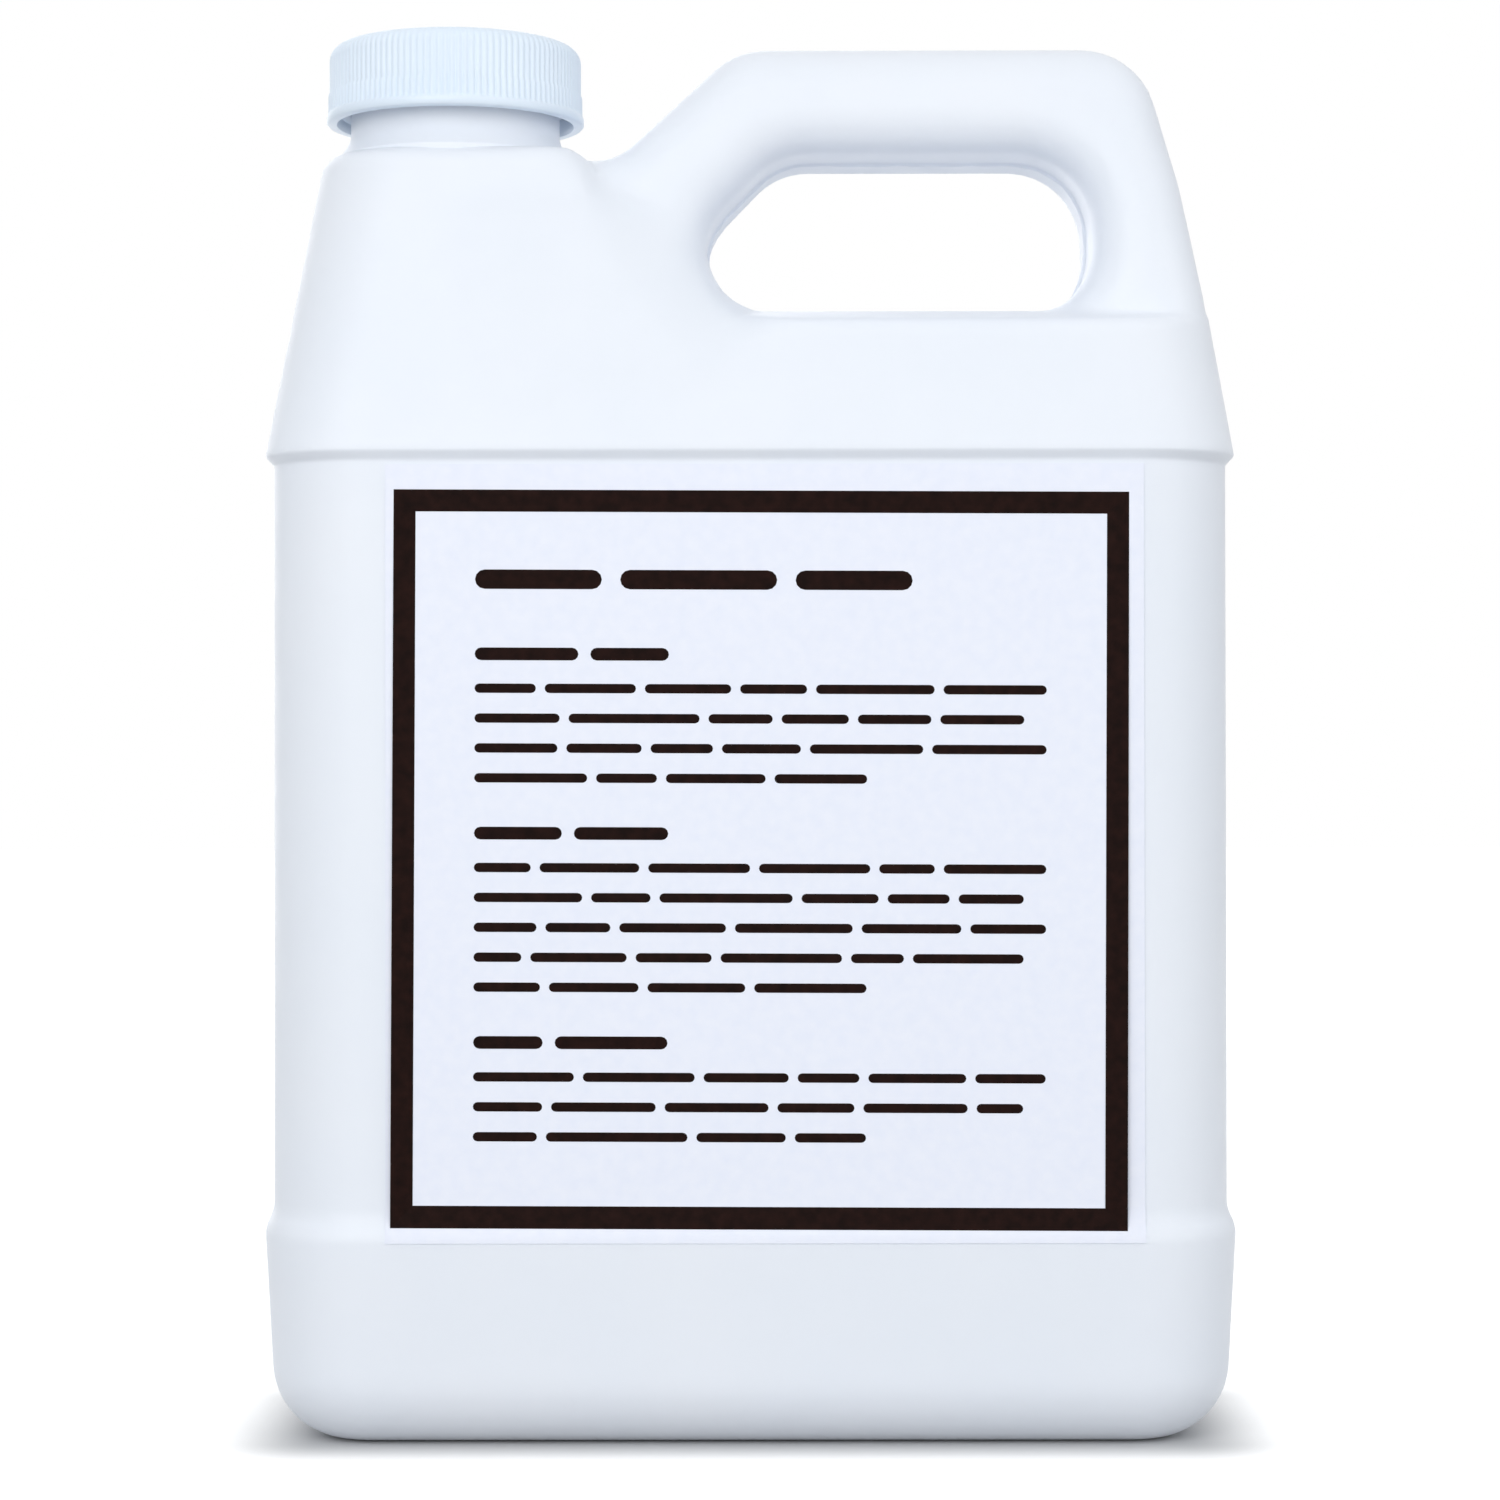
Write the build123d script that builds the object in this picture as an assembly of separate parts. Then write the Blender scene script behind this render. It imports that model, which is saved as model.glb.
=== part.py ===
from build123d import *

import os
from math import cos, pi, sin, sqrt

# A free-standing one-quart jug for liquid detergent. The jug is one hollow moulding with a flat rounded
# body, a leaning shoulder, a hollow handle at +X and a threaded neck at -X. A ribbed cap with a liner
# disc closes the neck, and a paper label covers most of the recessed front panel.
# All sizes are in millimetres. X is the width, -Y the front with the label, +Z up, and the origin is the
# middle of the base at floor level.

# Body
JUG_WIDTH = 133.0
JUG_DEPTH = 53.0
WALL = 1.0
PLAN_CORNER_RADIUS = 13.5
BASE_EDGE_RADIUS = 8.5
BASE_TAPER = 1.4
LOWER_RIDGE_Z = 28.8
UPPER_RIDGE_Z = 134.1
PANEL_RECESS = 1.1
LOWER_STEP_HEIGHT = 2.6
UPPER_LIP_HEIGHT = 1.2
LOWER_RIDGE_ROUNDING = 1.2
UPPER_RIDGE_ROUNDING = 0.5
LEAST_ROUNDING = 0.2

# Shallow push-up in the base, which leaves a standing ring
PUSH_UP_HEIGHT = 2.0
STANDING_RING_WIDTH = 4.0
PUSH_UP_RUN = 5.0
PUSH_UP_CORNER_RADIUS = 8.0

# Shoulder: it leans in from the upper ridge to the deck that carries the neck
SHELF_Z = 151.9
DECK_Z = 176.7
SHOULDER_LEAN = 9.1
LEFT_LEAN = 7.1
RIGHT_LEAN = 6.6
DECK_CORNER_RADIUS = 15.0
DECK_EDGE_RADIUS = 2.6
DOME_FOOT_REACH = 46.5
SHELF_CROWN = 3.3

# Neck finish
NECK_FROM_LEFT = 25.1
NECK_RADIUS = 14.65
NECK_WALL = 1.75
NECK_FLARE = 1.75
NECK_FLARE_HEIGHT = 3.0
FLARE_WAIST_OUT = 1 / 4
FLARE_WAIST_UP = 1 / 3
NECK_STEP = 0.3
NECK_HEIGHT = 13.9
LIP_ROUNDING = 0.5

# Thread, the same pitch and hand on neck and cap
THREAD_PITCH = 25.4 / 6
THREAD_TURNS = 1.0
NECK_THREAD_HEIGHT = 1.25
NECK_THREAD_ROOT_WIDTH = 2.2
NECK_THREAD_CREST_WIDTH = 0.8
CAP_THREAD_HEIGHT = 1.05
CAP_THREAD_ROOT_WIDTH = 1.7
CAP_THREAD_CREST_WIDTH = 0.6
THREAD_TOP_GAP = 2.1
THREAD_CLEARANCE = 0.4
THREAD_BURIAL = 0.3
CAP_THREAD_LEAD = 0.32

# Handle: a flattened tube around the finger hole
HANDLE_TOP_Z = 191.4
HANDLE_TOP_HALF_DEPTH = 12.0
HANDLE_FOOT_HALF_DEPTH = 18.5
HANDLE_BAR = 14.8
HANDLE_POST = 16.3
HANDLE_BACK_LEAN = 8.4
HANDLE_BACK_BULGE = 0.8
HANDLE_EDGE_RADIUS = 6.0
HANDLE_BACK_CORNER = 8.0
HANDLE_FRONT_CORNER = 10.0
LEG_WIDTH = 14.2
LEG_SLOPE_RUN = 16.7
SADDLE_WIDTH = 5.0
SADDLE_DROP = 0.5
SADDLE_RADIUS = 8.0
FOOT_DEPTH = 14.0
POST_INSET = 0.4
HOLE_TOP_RADIUS = 10.0
HOLE_LEFT_RADIUS = 7.9
HOLE_RIGHT_RADIUS = 5.0

# Cap
CAP_HEIGHT = 11.0
CAP_TOP_WALL = 1.4
CAP_SKIRT_WALL = 1.75
CAP_SKIRT_DRAFT = 0.4
CAP_TOP_ROUNDING = 1.8
CAP_RIM_BAND = 1.4
CAP_BAND_STEP = 0.25
RIB_COUNT = 120
RIB_DEPTH = 0.3
RIB_SHARE = 0.55
LINER_THICKNESS = 0.9
LINER_EDGE_GAP = 0.3

# Label
LABEL_WIDTH = 101.6
LABEL_HEIGHT = 104.2
LABEL_THICKNESS = 0.15
LABEL_TOP_GAP = 0.7
LABEL_OFFSET_X = 2.0

# Derived places
HALF_WIDTH = JUG_WIDTH / 2
HALF_DEPTH = JUG_DEPTH / 2
NECK_X = NECK_FROM_LEFT - HALF_WIDTH
NECK_BORE_RADIUS = NECK_RADIUS - NECK_WALL
LIP_Z = DECK_Z + NECK_HEIGHT
CAP_TOP_Z = LIP_Z + LINER_THICKNESS + CAP_TOP_WALL
CAP_RIM_Z = CAP_TOP_Z - CAP_HEIGHT
CAP_ROOT_RADIUS = NECK_RADIUS + NECK_THREAD_HEIGHT + THREAD_CLEARANCE
CAP_RIM_RADIUS = CAP_ROOT_RADIUS + CAP_SKIRT_WALL
CAP_TOP_RADIUS = CAP_RIM_RADIUS - CAP_SKIRT_DRAFT
PANEL_TOP_Z = UPPER_RIDGE_Z - UPPER_LIP_HEIGHT
LABEL_TOP_Z = PANEL_TOP_Z - LABEL_TOP_GAP
BORE_OVERRUN = 4.0
TINY = 0.01


def plan_section(left, right, half_depth, left_radius, right_radius, z):
    """A horizontal rounded rectangle whose left and right corners have their own radii."""
    middle = (left + right) / 2
    outline = Pos(middle, 0, z) * Rectangle(right - left, 2 * half_depth)
    sides = outline.vertices().group_by(Axis.X)
    outline = fillet(sides[0], left_radius)
    sides = outline.vertices().group_by(Axis.X)
    return fillet(sides[-1], right_radius)


def body_section(z, recess, inset):
    """The body's plan at height z, set in from the ridges by recess, and by inset for its inner skin."""
    step = recess + inset
    radius = PLAN_CORNER_RADIUS - step
    return plan_section(step - HALF_WIDTH, HALF_WIDTH - step, HALF_DEPTH - step, radius, radius, z)


def edges_at_height(form, z):
    """The edges of a form that lie level at height z."""
    return form.edges().filter_by_position(Axis.Z, z - TINY, z + TINY)


def push_up_form(inset):
    """The hollow that is pressed up into the base, inside its standing ring."""
    ring = BASE_TAPER + BASE_EDGE_RADIUS + STANDING_RING_WIDTH - inset
    sections = []
    for rise, run in ((0, 0), (PUSH_UP_HEIGHT, PUSH_UP_RUN)):
        side = ring + run
        radius = PUSH_UP_CORNER_RADIUS - run
        left = side - HALF_WIDTH
        sections.append(plan_section(left, -left, HALF_DEPTH - side, radius, radius, inset + rise))
    return loft(sections, ruled=True)


def body_form(inset):
    """The body from its floor to the upper ridge, with two ridges and the panel between them."""
    levels = [
        (inset, BASE_TAPER),
        (LOWER_RIDGE_Z, 0),
        (LOWER_RIDGE_Z + LOWER_STEP_HEIGHT, PANEL_RECESS),
        (PANEL_TOP_Z, PANEL_RECESS),
        (UPPER_RIDGE_Z, 0),
    ]
    body = loft([body_section(z, recess, inset) for z, recess in levels], ruled=True)
    ridge_rounding = max(LOWER_RIDGE_ROUNDING - inset, LEAST_ROUNDING)
    body = fillet(edges_at_height(body, LOWER_RIDGE_Z), ridge_rounding)
    body = fillet(edges_at_height(body, inset), BASE_EDGE_RADIUS - inset)
    return body - push_up_form(inset)


def shoulder_side(z, lean):
    """How far a leaning side has come in at height z above the upper ridge."""
    return lean * (z - UPPER_RIDGE_Z) / (DECK_Z - UPPER_RIDGE_Z)


def shoulder_section(z, right, right_radius, inset):
    """The shoulder's plan at height z, from its leaning left side to a given right side."""
    share = (z - UPPER_RIDGE_Z) / (DECK_Z - UPPER_RIDGE_Z)
    left_radius = PLAN_CORNER_RADIUS + share * (DECK_CORNER_RADIUS - PLAN_CORNER_RADIUS)
    left = shoulder_side(z, LEFT_LEAN) - HALF_WIDTH
    half_depth = HALF_DEPTH - shoulder_side(z, SHOULDER_LEAN)
    return plan_section(
        left + inset, right - inset, half_depth - inset, left_radius - inset, right_radius - inset, z
    )


def shelf_form(inset):
    """The full-width part of the shoulder, up to the shelf under the finger hole, with its crown."""
    top = SHELF_Z - inset
    crown = top + SHELF_CROWN
    lower, upper, peak = [
        shoulder_section(z, HALF_WIDTH - shoulder_side(z, RIGHT_LEAN), PLAN_CORNER_RADIUS, inset)
        for z in (UPPER_RIDGE_Z, top, crown)
    ]
    half_depth = HALF_DEPTH - shoulder_side(top, SHOULDER_LEAN) - inset
    roof = Plane.YZ * make_face(Polyline((-half_depth, top), (0, crown), (half_depth, top), close=True))
    roof = Pos(NECK_X, 0, 0) * extrude(roof, JUG_WIDTH)
    return loft([lower, upper], ruled=True) + (roof & loft([upper, peak], ruled=True))


def dome_form(inset):
    """The dome that carries the neck: its right flank falls away to the foot of the handle."""
    foot_z = SHELF_Z - inset
    deck_z = DECK_Z - inset
    deck_right = 2 * NECK_X + HALF_WIDTH - shoulder_side(deck_z, LEFT_LEAN)
    dome_foot = deck_right + (DOME_FOOT_REACH - (DECK_Z - SHELF_Z))
    foot = shoulder_section(foot_z, dome_foot, PLAN_CORNER_RADIUS, inset)
    deck = shoulder_section(deck_z, deck_right, DECK_CORNER_RADIUS, inset)
    dome = loft([foot, deck], ruled=True)
    return fillet(dome.edges().group_by(Axis.Z)[-1], DECK_EDGE_RADIUS - inset)


def hole_outline():
    """The finger hole in the middle plane: its left side runs at 45 degrees, along the sloping leg."""
    top = HANDLE_TOP_Z - HANDLE_BAR
    bottom = SHELF_Z + SHELF_CROWN
    right = HALF_WIDTH - HANDLE_POST - shoulder_side(SHELF_Z, RIGHT_LEAN)
    slope_top = top_left_x() + LEG_WIDTH * (sqrt(2) - 1)
    slope_foot = slope_top - (top - bottom)
    hole = make_face(
        Polyline((slope_foot, bottom), (slope_top, top), (right, top), (right, bottom), close=True)
    )
    corners = hole.vertices()
    hole = fillet(corners.sort_by_distance((slope_foot, bottom))[0], HOLE_LEFT_RADIUS)
    hole = fillet(hole.vertices().sort_by_distance((slope_top, top))[0], HOLE_TOP_RADIUS)
    hole = fillet(hole.vertices().sort_by_distance((right, top))[0], HOLE_TOP_RADIUS)
    return fillet(hole.vertices().sort_by_distance((right, bottom))[0], HOLE_RIGHT_RADIUS)


def saddle_x():
    """The left end of the sloping leg, past the flat saddle beside the neck's deck."""
    return 2 * NECK_X + HALF_WIDTH - LEFT_LEAN + SADDLE_WIDTH


def top_left_x():
    """The unrounded corner where the sloping leg meets the handle's top bar."""
    return saddle_x() + LEG_SLOPE_RUN


def handle_outline(inset):
    """The handle seen from the front, less its finger hole."""
    top = HANDLE_TOP_Z
    foot = SHELF_Z - FOOT_DEPTH
    back_foot = HALF_WIDTH - shoulder_side(SHELF_Z, RIGHT_LEAN) - POST_INSET
    back_top = back_foot - HANDLE_BACK_LEAN
    back_middle = ((back_foot + back_top) / 2 + HANDLE_BACK_BULGE, (top + SHELF_Z) / 2)
    saddle_z = DECK_Z - SADDLE_DROP
    inner_end = NECK_X
    outline = make_face(
        [
            Polyline((inner_end, foot), (inner_end, saddle_z), (saddle_x(), saddle_z), (top_left_x(), top)),
            Line((top_left_x(), top), (back_top, top)),
            ThreePointArc((back_top, top), back_middle, (back_foot, SHELF_Z)),
            Polyline((back_foot, SHELF_Z), (back_foot, foot), (inner_end, foot)),
        ]
    )
    outline = fillet(outline.vertices().sort_by_distance((saddle_x(), saddle_z))[0], SADDLE_RADIUS)
    outline = fillet(outline.vertices().sort_by_distance((top_left_x(), top))[0], HANDLE_FRONT_CORNER)
    outline = fillet(outline.vertices().sort_by_distance((back_top, top))[0], HANDLE_BACK_CORNER)
    outline = outline - hole_outline()
    return offset(outline, amount=-inset, kind=Kind.INTERSECTION) if inset else outline


def handle_form(inset):
    """The handle: its outline cut to a wedge that narrows upwards, with all its rims rounded."""
    loop = extrude(Plane.XZ * handle_outline(inset), HALF_DEPTH, both=True)
    foot = SHELF_Z - FOOT_DEPTH
    widen = (HANDLE_FOOT_HALF_DEPTH - HANDLE_TOP_HALF_DEPTH) / (HANDLE_TOP_Z - SHELF_Z)
    top_depth = HANDLE_TOP_HALF_DEPTH - inset
    foot_depth = top_depth + widen * (HANDLE_TOP_Z - foot)
    wedge = Plane.YZ * make_face(
        Polyline(
            (-foot_depth, foot),
            (foot_depth, foot),
            (top_depth, HANDLE_TOP_Z),
            (-top_depth, HANDLE_TOP_Z),
            close=True,
        )
    )
    loop = loop & extrude(wedge, JUG_WIDTH, both=True)
    faces = loop.faces().sort_by(Axis.Y)
    return fillet(faces[0].edges() + faces[-1].edges(), HANDLE_EDGE_RADIUS - inset)


def neck_form():
    """The neck's outer wall: a flared foot on the deck, a straight wall and a rounded lip."""
    foot_radius = NECK_RADIUS + NECK_FLARE
    foot_z = DECK_Z - DECK_EDGE_RADIUS
    flare_foot = DECK_Z + NECK_STEP
    flare_top = flare_foot + NECK_FLARE_HEIGHT
    waist = (NECK_RADIUS + NECK_FLARE * FLARE_WAIST_OUT, flare_foot + NECK_FLARE_HEIGHT * FLARE_WAIST_UP)
    profile = make_face(
        [
            Polyline((0, LIP_Z), (0, foot_z), (foot_radius, foot_z), (foot_radius, flare_foot)),
            ThreePointArc((foot_radius, flare_foot), waist, (NECK_RADIUS, flare_top)),
            Polyline((NECK_RADIUS, flare_top), (NECK_RADIUS, LIP_Z), (0, LIP_Z)),
        ]
    )
    neck = revolve(Plane.YZ * profile, Axis.Z)
    neck = fillet(edges_at_height(neck, LIP_Z), LIP_ROUNDING)
    return Pos(NECK_X, 0, 0) * neck


def thread_form(radius, height, root_width, crest_width, start_z, start_turn, turns):
    """A helical ridge on a wall of the given radius: outwards for a positive height, else inwards."""
    helix = Helix(THREAD_PITCH, THREAD_PITCH * turns, radius)
    burial = THREAD_BURIAL if height > 0 else -THREAD_BURIAL
    ridge = make_face(
        Polyline(
            (-burial, -root_width / 2),
            (0, -root_width / 2),
            (height, -crest_width / 2),
            (height, crest_width / 2),
            (0, root_width / 2),
            (-burial, root_width / 2),
            close=True,
        )
    )
    start = Plane(origin=helix @ 0, x_dir=(1, 0, 0), z_dir=helix % 0)
    thread = sweep(start * ridge, path=helix, is_frenet=True)
    return Pos(NECK_X, 0, start_z) * Rot(0, 0, 360 * start_turn) * thread


def neck_thread():
    """The thread around the neck, one turn that ends just under the lip."""
    start_z = LIP_Z - THREAD_TOP_GAP - THREAD_PITCH * THREAD_TURNS
    return thread_form(
        NECK_RADIUS,
        NECK_THREAD_HEIGHT,
        NECK_THREAD_ROOT_WIDTH,
        NECK_THREAD_CREST_WIDTH,
        start_z,
        0,
        THREAD_TURNS,
    )


def cap_thread():
    """The thread inside the cap, half a pitch under the neck's so that its flanks stay clear."""
    neck_start_z = LIP_Z - THREAD_TOP_GAP - THREAD_PITCH * THREAD_TURNS
    start_z = neck_start_z + THREAD_PITCH * (CAP_THREAD_LEAD - 1 / 2)
    return thread_form(
        CAP_ROOT_RADIUS,
        -CAP_THREAD_HEIGHT,
        CAP_THREAD_ROOT_WIDTH,
        CAP_THREAD_CREST_WIDTH,
        start_z,
        CAP_THREAD_LEAD,
        THREAD_TURNS,
    )


def vessel_form(inset):
    """The jug's closed shape without its neck, or its inner skin when inset by the wall."""
    return body_form(inset) + shelf_form(inset) + dome_form(inset) + handle_form(inset)


def make_jug():
    """The jug: its outer shape and threaded neck, less the inner skin and the bore."""
    skin = vessel_form(0)
    skin = fillet(edges_at_height(skin, UPPER_RIDGE_Z), UPPER_RIDGE_ROUNDING)
    bore_foot = DECK_Z - BORE_OVERRUN
    bore = Cylinder(
        NECK_BORE_RADIUS, LIP_Z - bore_foot + BORE_OVERRUN, align=(Align.CENTER, Align.CENTER, Align.MIN)
    )
    cavity = vessel_form(WALL) + Pos(NECK_X, 0, bore_foot) * bore
    return (skin + neck_form() + neck_thread()) - cavity


def rib_outline():
    """The cap's ribbed outline: its ribs stand past the skirt, so that only the grooves are cut."""
    groove = CAP_TOP_RADIUS - RIB_DEPTH
    crest = CAP_RIM_RADIUS + RIB_DEPTH
    step = 2 * pi / RIB_COUNT
    points = []
    for rib in range(RIB_COUNT):
        for share, radius in ((0, crest), (RIB_SHARE, crest), (RIB_SHARE, groove), (1, groove)):
            angle = (rib + share) * step
            points.append((radius * cos(angle), radius * sin(angle)))
    return make_face(Polyline(*points, close=True))


def make_cap():
    """The screw cap: a ribbed skirt over a plain rim band, a rounded top and an internal thread."""
    skirt_radius = CAP_RIM_RADIUS - CAP_BAND_STEP
    band_top = CAP_RIM_Z + CAP_RIM_BAND
    ceiling = CAP_TOP_Z - CAP_TOP_WALL
    profile = make_face(
        Polyline(
            (0, CAP_TOP_Z),
            (0, ceiling),
            (CAP_ROOT_RADIUS, ceiling),
            (CAP_ROOT_RADIUS, CAP_RIM_Z),
            (CAP_RIM_RADIUS, CAP_RIM_Z),
            (CAP_RIM_RADIUS, band_top),
            (skirt_radius, band_top),
            (CAP_TOP_RADIUS, CAP_TOP_Z),
            close=True,
        )
    )
    cap = revolve(Plane.XZ * profile, Axis.Z)
    cap = fillet(edges_at_height(cap, CAP_TOP_Z), CAP_TOP_ROUNDING)
    collar = Circle(CAP_RIM_RADIUS + 2 * RIB_DEPTH) - rib_outline()
    grooves = extrude(collar, CAP_HEIGHT - CAP_RIM_BAND - CAP_TOP_ROUNDING)
    cap = cap - Pos(0, 0, band_top) * grooves
    return Pos(NECK_X, 0, 0) * cap + cap_thread()


def make_liner():
    """The foam disc pressed against the cap's ceiling, which seals on the neck's lip."""
    radius = CAP_ROOT_RADIUS - LINER_EDGE_GAP
    disc = Cylinder(radius, LINER_THICKNESS, align=(Align.CENTER, Align.CENTER, Align.MIN))
    return Pos(NECK_X, 0, LIP_Z) * disc


def make_label():
    """The paper label, a thin sheet that lies on the panel and runs over the lower ridge."""
    sheet = body_form(-LABEL_THICKNESS) - body_form(0)
    cutter = Box(LABEL_WIDTH, JUG_DEPTH, LABEL_HEIGHT, align=(Align.CENTER, Align.MAX, Align.MAX))
    return sheet & Pos(LABEL_OFFSET_X, 0, LABEL_TOP_Z) * cutter


def main():
    """Builds each piece and writes it to its own file."""
    os.makedirs("parts", exist_ok=True)
    pieces = {
        "jug": make_jug(),
        "screw_cap": make_cap(),
        "cap_liner": make_liner(),
        "front_label": make_label(),
    }
    for name, piece in pieces.items():
        export_step(piece, f"parts/{name}.step")


if __name__ == "__main__":
    main()
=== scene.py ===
"""The looks of a one-quart laundry detergent bottle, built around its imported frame.

Sizes inside the classes are millimetres, as on a drawing, and meshes are made in metres.
X is the width, -Y the front with the label and +Z is up.
"""
import logging
import math
import random
from dataclasses import dataclass, field
from enum import Enum
from typing import Callable, Sequence

import bpy
import numpy as np
from mathutils import Euler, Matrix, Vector


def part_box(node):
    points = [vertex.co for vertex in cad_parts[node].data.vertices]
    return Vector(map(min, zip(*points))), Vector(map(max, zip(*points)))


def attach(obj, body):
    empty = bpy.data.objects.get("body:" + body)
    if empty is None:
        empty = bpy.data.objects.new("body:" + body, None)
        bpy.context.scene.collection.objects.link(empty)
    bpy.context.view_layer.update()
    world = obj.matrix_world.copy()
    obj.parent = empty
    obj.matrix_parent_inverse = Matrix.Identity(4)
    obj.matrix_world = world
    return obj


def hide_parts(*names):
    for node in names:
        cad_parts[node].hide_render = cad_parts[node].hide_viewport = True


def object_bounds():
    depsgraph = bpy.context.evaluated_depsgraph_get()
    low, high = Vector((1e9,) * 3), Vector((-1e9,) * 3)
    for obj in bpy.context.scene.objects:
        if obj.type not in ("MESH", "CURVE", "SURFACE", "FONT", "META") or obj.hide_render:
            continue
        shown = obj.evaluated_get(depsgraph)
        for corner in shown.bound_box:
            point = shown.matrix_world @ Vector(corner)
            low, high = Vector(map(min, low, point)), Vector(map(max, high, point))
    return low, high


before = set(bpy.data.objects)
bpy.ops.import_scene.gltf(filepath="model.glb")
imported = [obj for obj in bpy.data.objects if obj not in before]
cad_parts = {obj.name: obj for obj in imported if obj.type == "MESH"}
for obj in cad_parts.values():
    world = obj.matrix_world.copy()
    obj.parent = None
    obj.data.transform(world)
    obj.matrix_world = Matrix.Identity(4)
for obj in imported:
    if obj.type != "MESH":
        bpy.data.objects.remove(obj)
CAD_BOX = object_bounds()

LOG = logging.getLogger("detergent_bottle")
MM = 0.001
# What the jug's form leaves of its box on the right, at the back and on top, for the parting line
BOX_MARGIN = (0.1, 0.05, 0.02)

Array = np.ndarray
Field = Callable[[Array, Array, Array], Array]
Tint = tuple[float, float, float]
Span = tuple[float, float]


# ---------------------------------------------------------------- shapes


class Combine(Enum):
    """How one solid is combined with another."""

    JOIN = "UNION"
    CUT = "DIFFERENCE"


def ramp(t: Array, soft: float) -> Array:
    """Nought below a bend and t above it, with a soft turn between.

    Args:
        t: Distance past the bend.
        soft: Half the length of the turn.

    Returns:
        The ramp's height.
    """
    inner = np.clip(t + soft, 0, 2 * soft)
    return inner**2 / (4 * soft) + np.maximum(t - soft, 0)


def smooth_step(t: Array, start: float, end: float) -> Array:
    """A soft change from 0 at start to 1 at end.

    Args:
        t: The place.
        start: Where the change starts.
        end: Where it ends.

    Returns:
        The share, from 0 to 1.
    """
    share = np.clip((t - start) / (end - start), 0, 1)
    return share * share * (3 - 2 * share)


def step_around(t: Array, place: float, span: Span) -> Array:
    """A soft change from 0 to 1 over a span that is measured from a place."""
    return smooth_step(t, place + span[0], place + span[1])


def round_meet(a: Array, b: Array, radius: Array | float) -> Array:
    """What two distance fields share, with the edge between them rounded.

    Args:
        a: Distance to the first surface, negative inside.
        b: Distance to the second surface.
        radius: Radius of the edge.

    Returns:
        The combined distance.
    """
    inside = np.minimum(-radius, np.maximum(a, b))
    return inside + np.hypot(np.maximum(radius + a, 0), np.maximum(radius + b, 0))


def round_join(a: Array, b: Array, radius: Array | float) -> Array:
    """Two distance fields joined, with the corner between them filled by a fillet.

    Args:
        a: Distance to the first surface, negative inside.
        b: Distance to the second surface.
        radius: Radius of the fillet.

    Returns:
        The combined distance.
    """
    outside = np.maximum(radius, np.minimum(a, b))
    return outside - np.hypot(np.maximum(radius - a, 0), np.maximum(radius - b, 0))


def smooth_highest(a: Array, b: Array, soft: float) -> Array:
    """The higher of two heights, with a soft valley where they cross.

    Args:
        a: First height.
        b: Second height.
        soft: Half the width of the valley.

    Returns:
        The combined height.
    """
    return b + ramp(a - b, soft)


@dataclass(frozen=True)
class Corner:
    """One corner of a flat outline, with its rounding."""

    x: float
    z: float
    radius: float = 0.0


@dataclass
class Outline:
    """A closed flat outline of straight sides and rounded corners."""

    corners: Sequence[Corner]
    arc_steps: int = 8
    points: Array = field(init=False)

    def __post_init__(self) -> None:
        """Works out the outline's points once."""
        rounded: list[tuple[float, float]] = []
        count = len(self.corners)
        for i, corner in enumerate(self.corners):
            rounded += self._arc(self.corners[i - 1], corner, self.corners[(i + 1) % count])
        self.points = np.array(rounded)

    def _arc(self, before: Corner, corner: Corner, after: Corner) -> list[tuple[float, float]]:
        """The points that round one corner.

        Args:
            before: The corner before it.
            corner: The corner itself.
            after: The corner after it.

        Returns:
            The points, in order.
        """
        place = Vector((corner.x, corner.z))
        if corner.radius == 0:
            return [tuple(place)]
        back = (Vector((before.x, before.z)) - place).normalized()
        on = (Vector((after.x, after.z)) - place).normalized()
        half = back.angle(on) / 2
        centre = place + (back + on).normalized() * (corner.radius / math.sin(half))
        reach = corner.radius / math.tan(half)
        start, end = place + back * reach - centre, place + on * reach - centre
        turn = start.angle_signed(end)
        first = math.atan2(start.y, start.x)
        return [
            (
                centre.x + corner.radius * math.cos(first - turn * step / self.arc_steps),
                centre.y + corner.radius * math.sin(first - turn * step / self.arc_steps),
            )
            for step in range(self.arc_steps + 1)
        ]

    def distance(self, x: Array, z: Array) -> Array:
        """Signed distance to the outline.

        Args:
            x: Places across.
            z: Heights.

        Returns:
            Distances, negative inside.
        """
        x, z = np.broadcast_arrays(x, z)
        least = np.full(x.shape, np.inf)
        inside = np.zeros(x.shape, bool)
        for (ax, az), (bx, bz) in zip(self.points, np.roll(self.points, -1, axis=0)):
            ex, ez = bx - ax, bz - az
            px, pz = x - ax, z - az
            along = np.clip((px * ex + pz * ez) / (ex * ex + ez * ez), 0, 1)
            least = np.minimum(least, (px - along * ex) ** 2 + (pz - along * ez) ** 2)
            if bz != az:
                crosses = ((az > z) != (bz > z)) & (px < pz * ex / ez)
                inside ^= crosses
        return np.where(inside, -1, 1) * np.sqrt(least)


@dataclass(frozen=True)
class FineZone:
    """A stretch of a mesh that needs closer lines."""

    start: float
    end: float
    step: float


def graded_lines(low: float, high: float, step: float, zones: Sequence[FineZone]) -> Array:
    """Grid lines that stand closer together in some zones.

    Args:
        low: First line.
        high: The last line lies at or just past this.
        step: Usual distance between lines.
        zones: Stretches with their own, smaller steps.

    Returns:
        The places of the lines.
    """
    places = [low]
    while places[-1] < high:
        here = places[-1]
        steps = [zone.step for zone in zones if zone.start - zone.step < here < zone.end]
        places.append(here + min([step, *steps]))
    return np.array(places)


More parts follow.
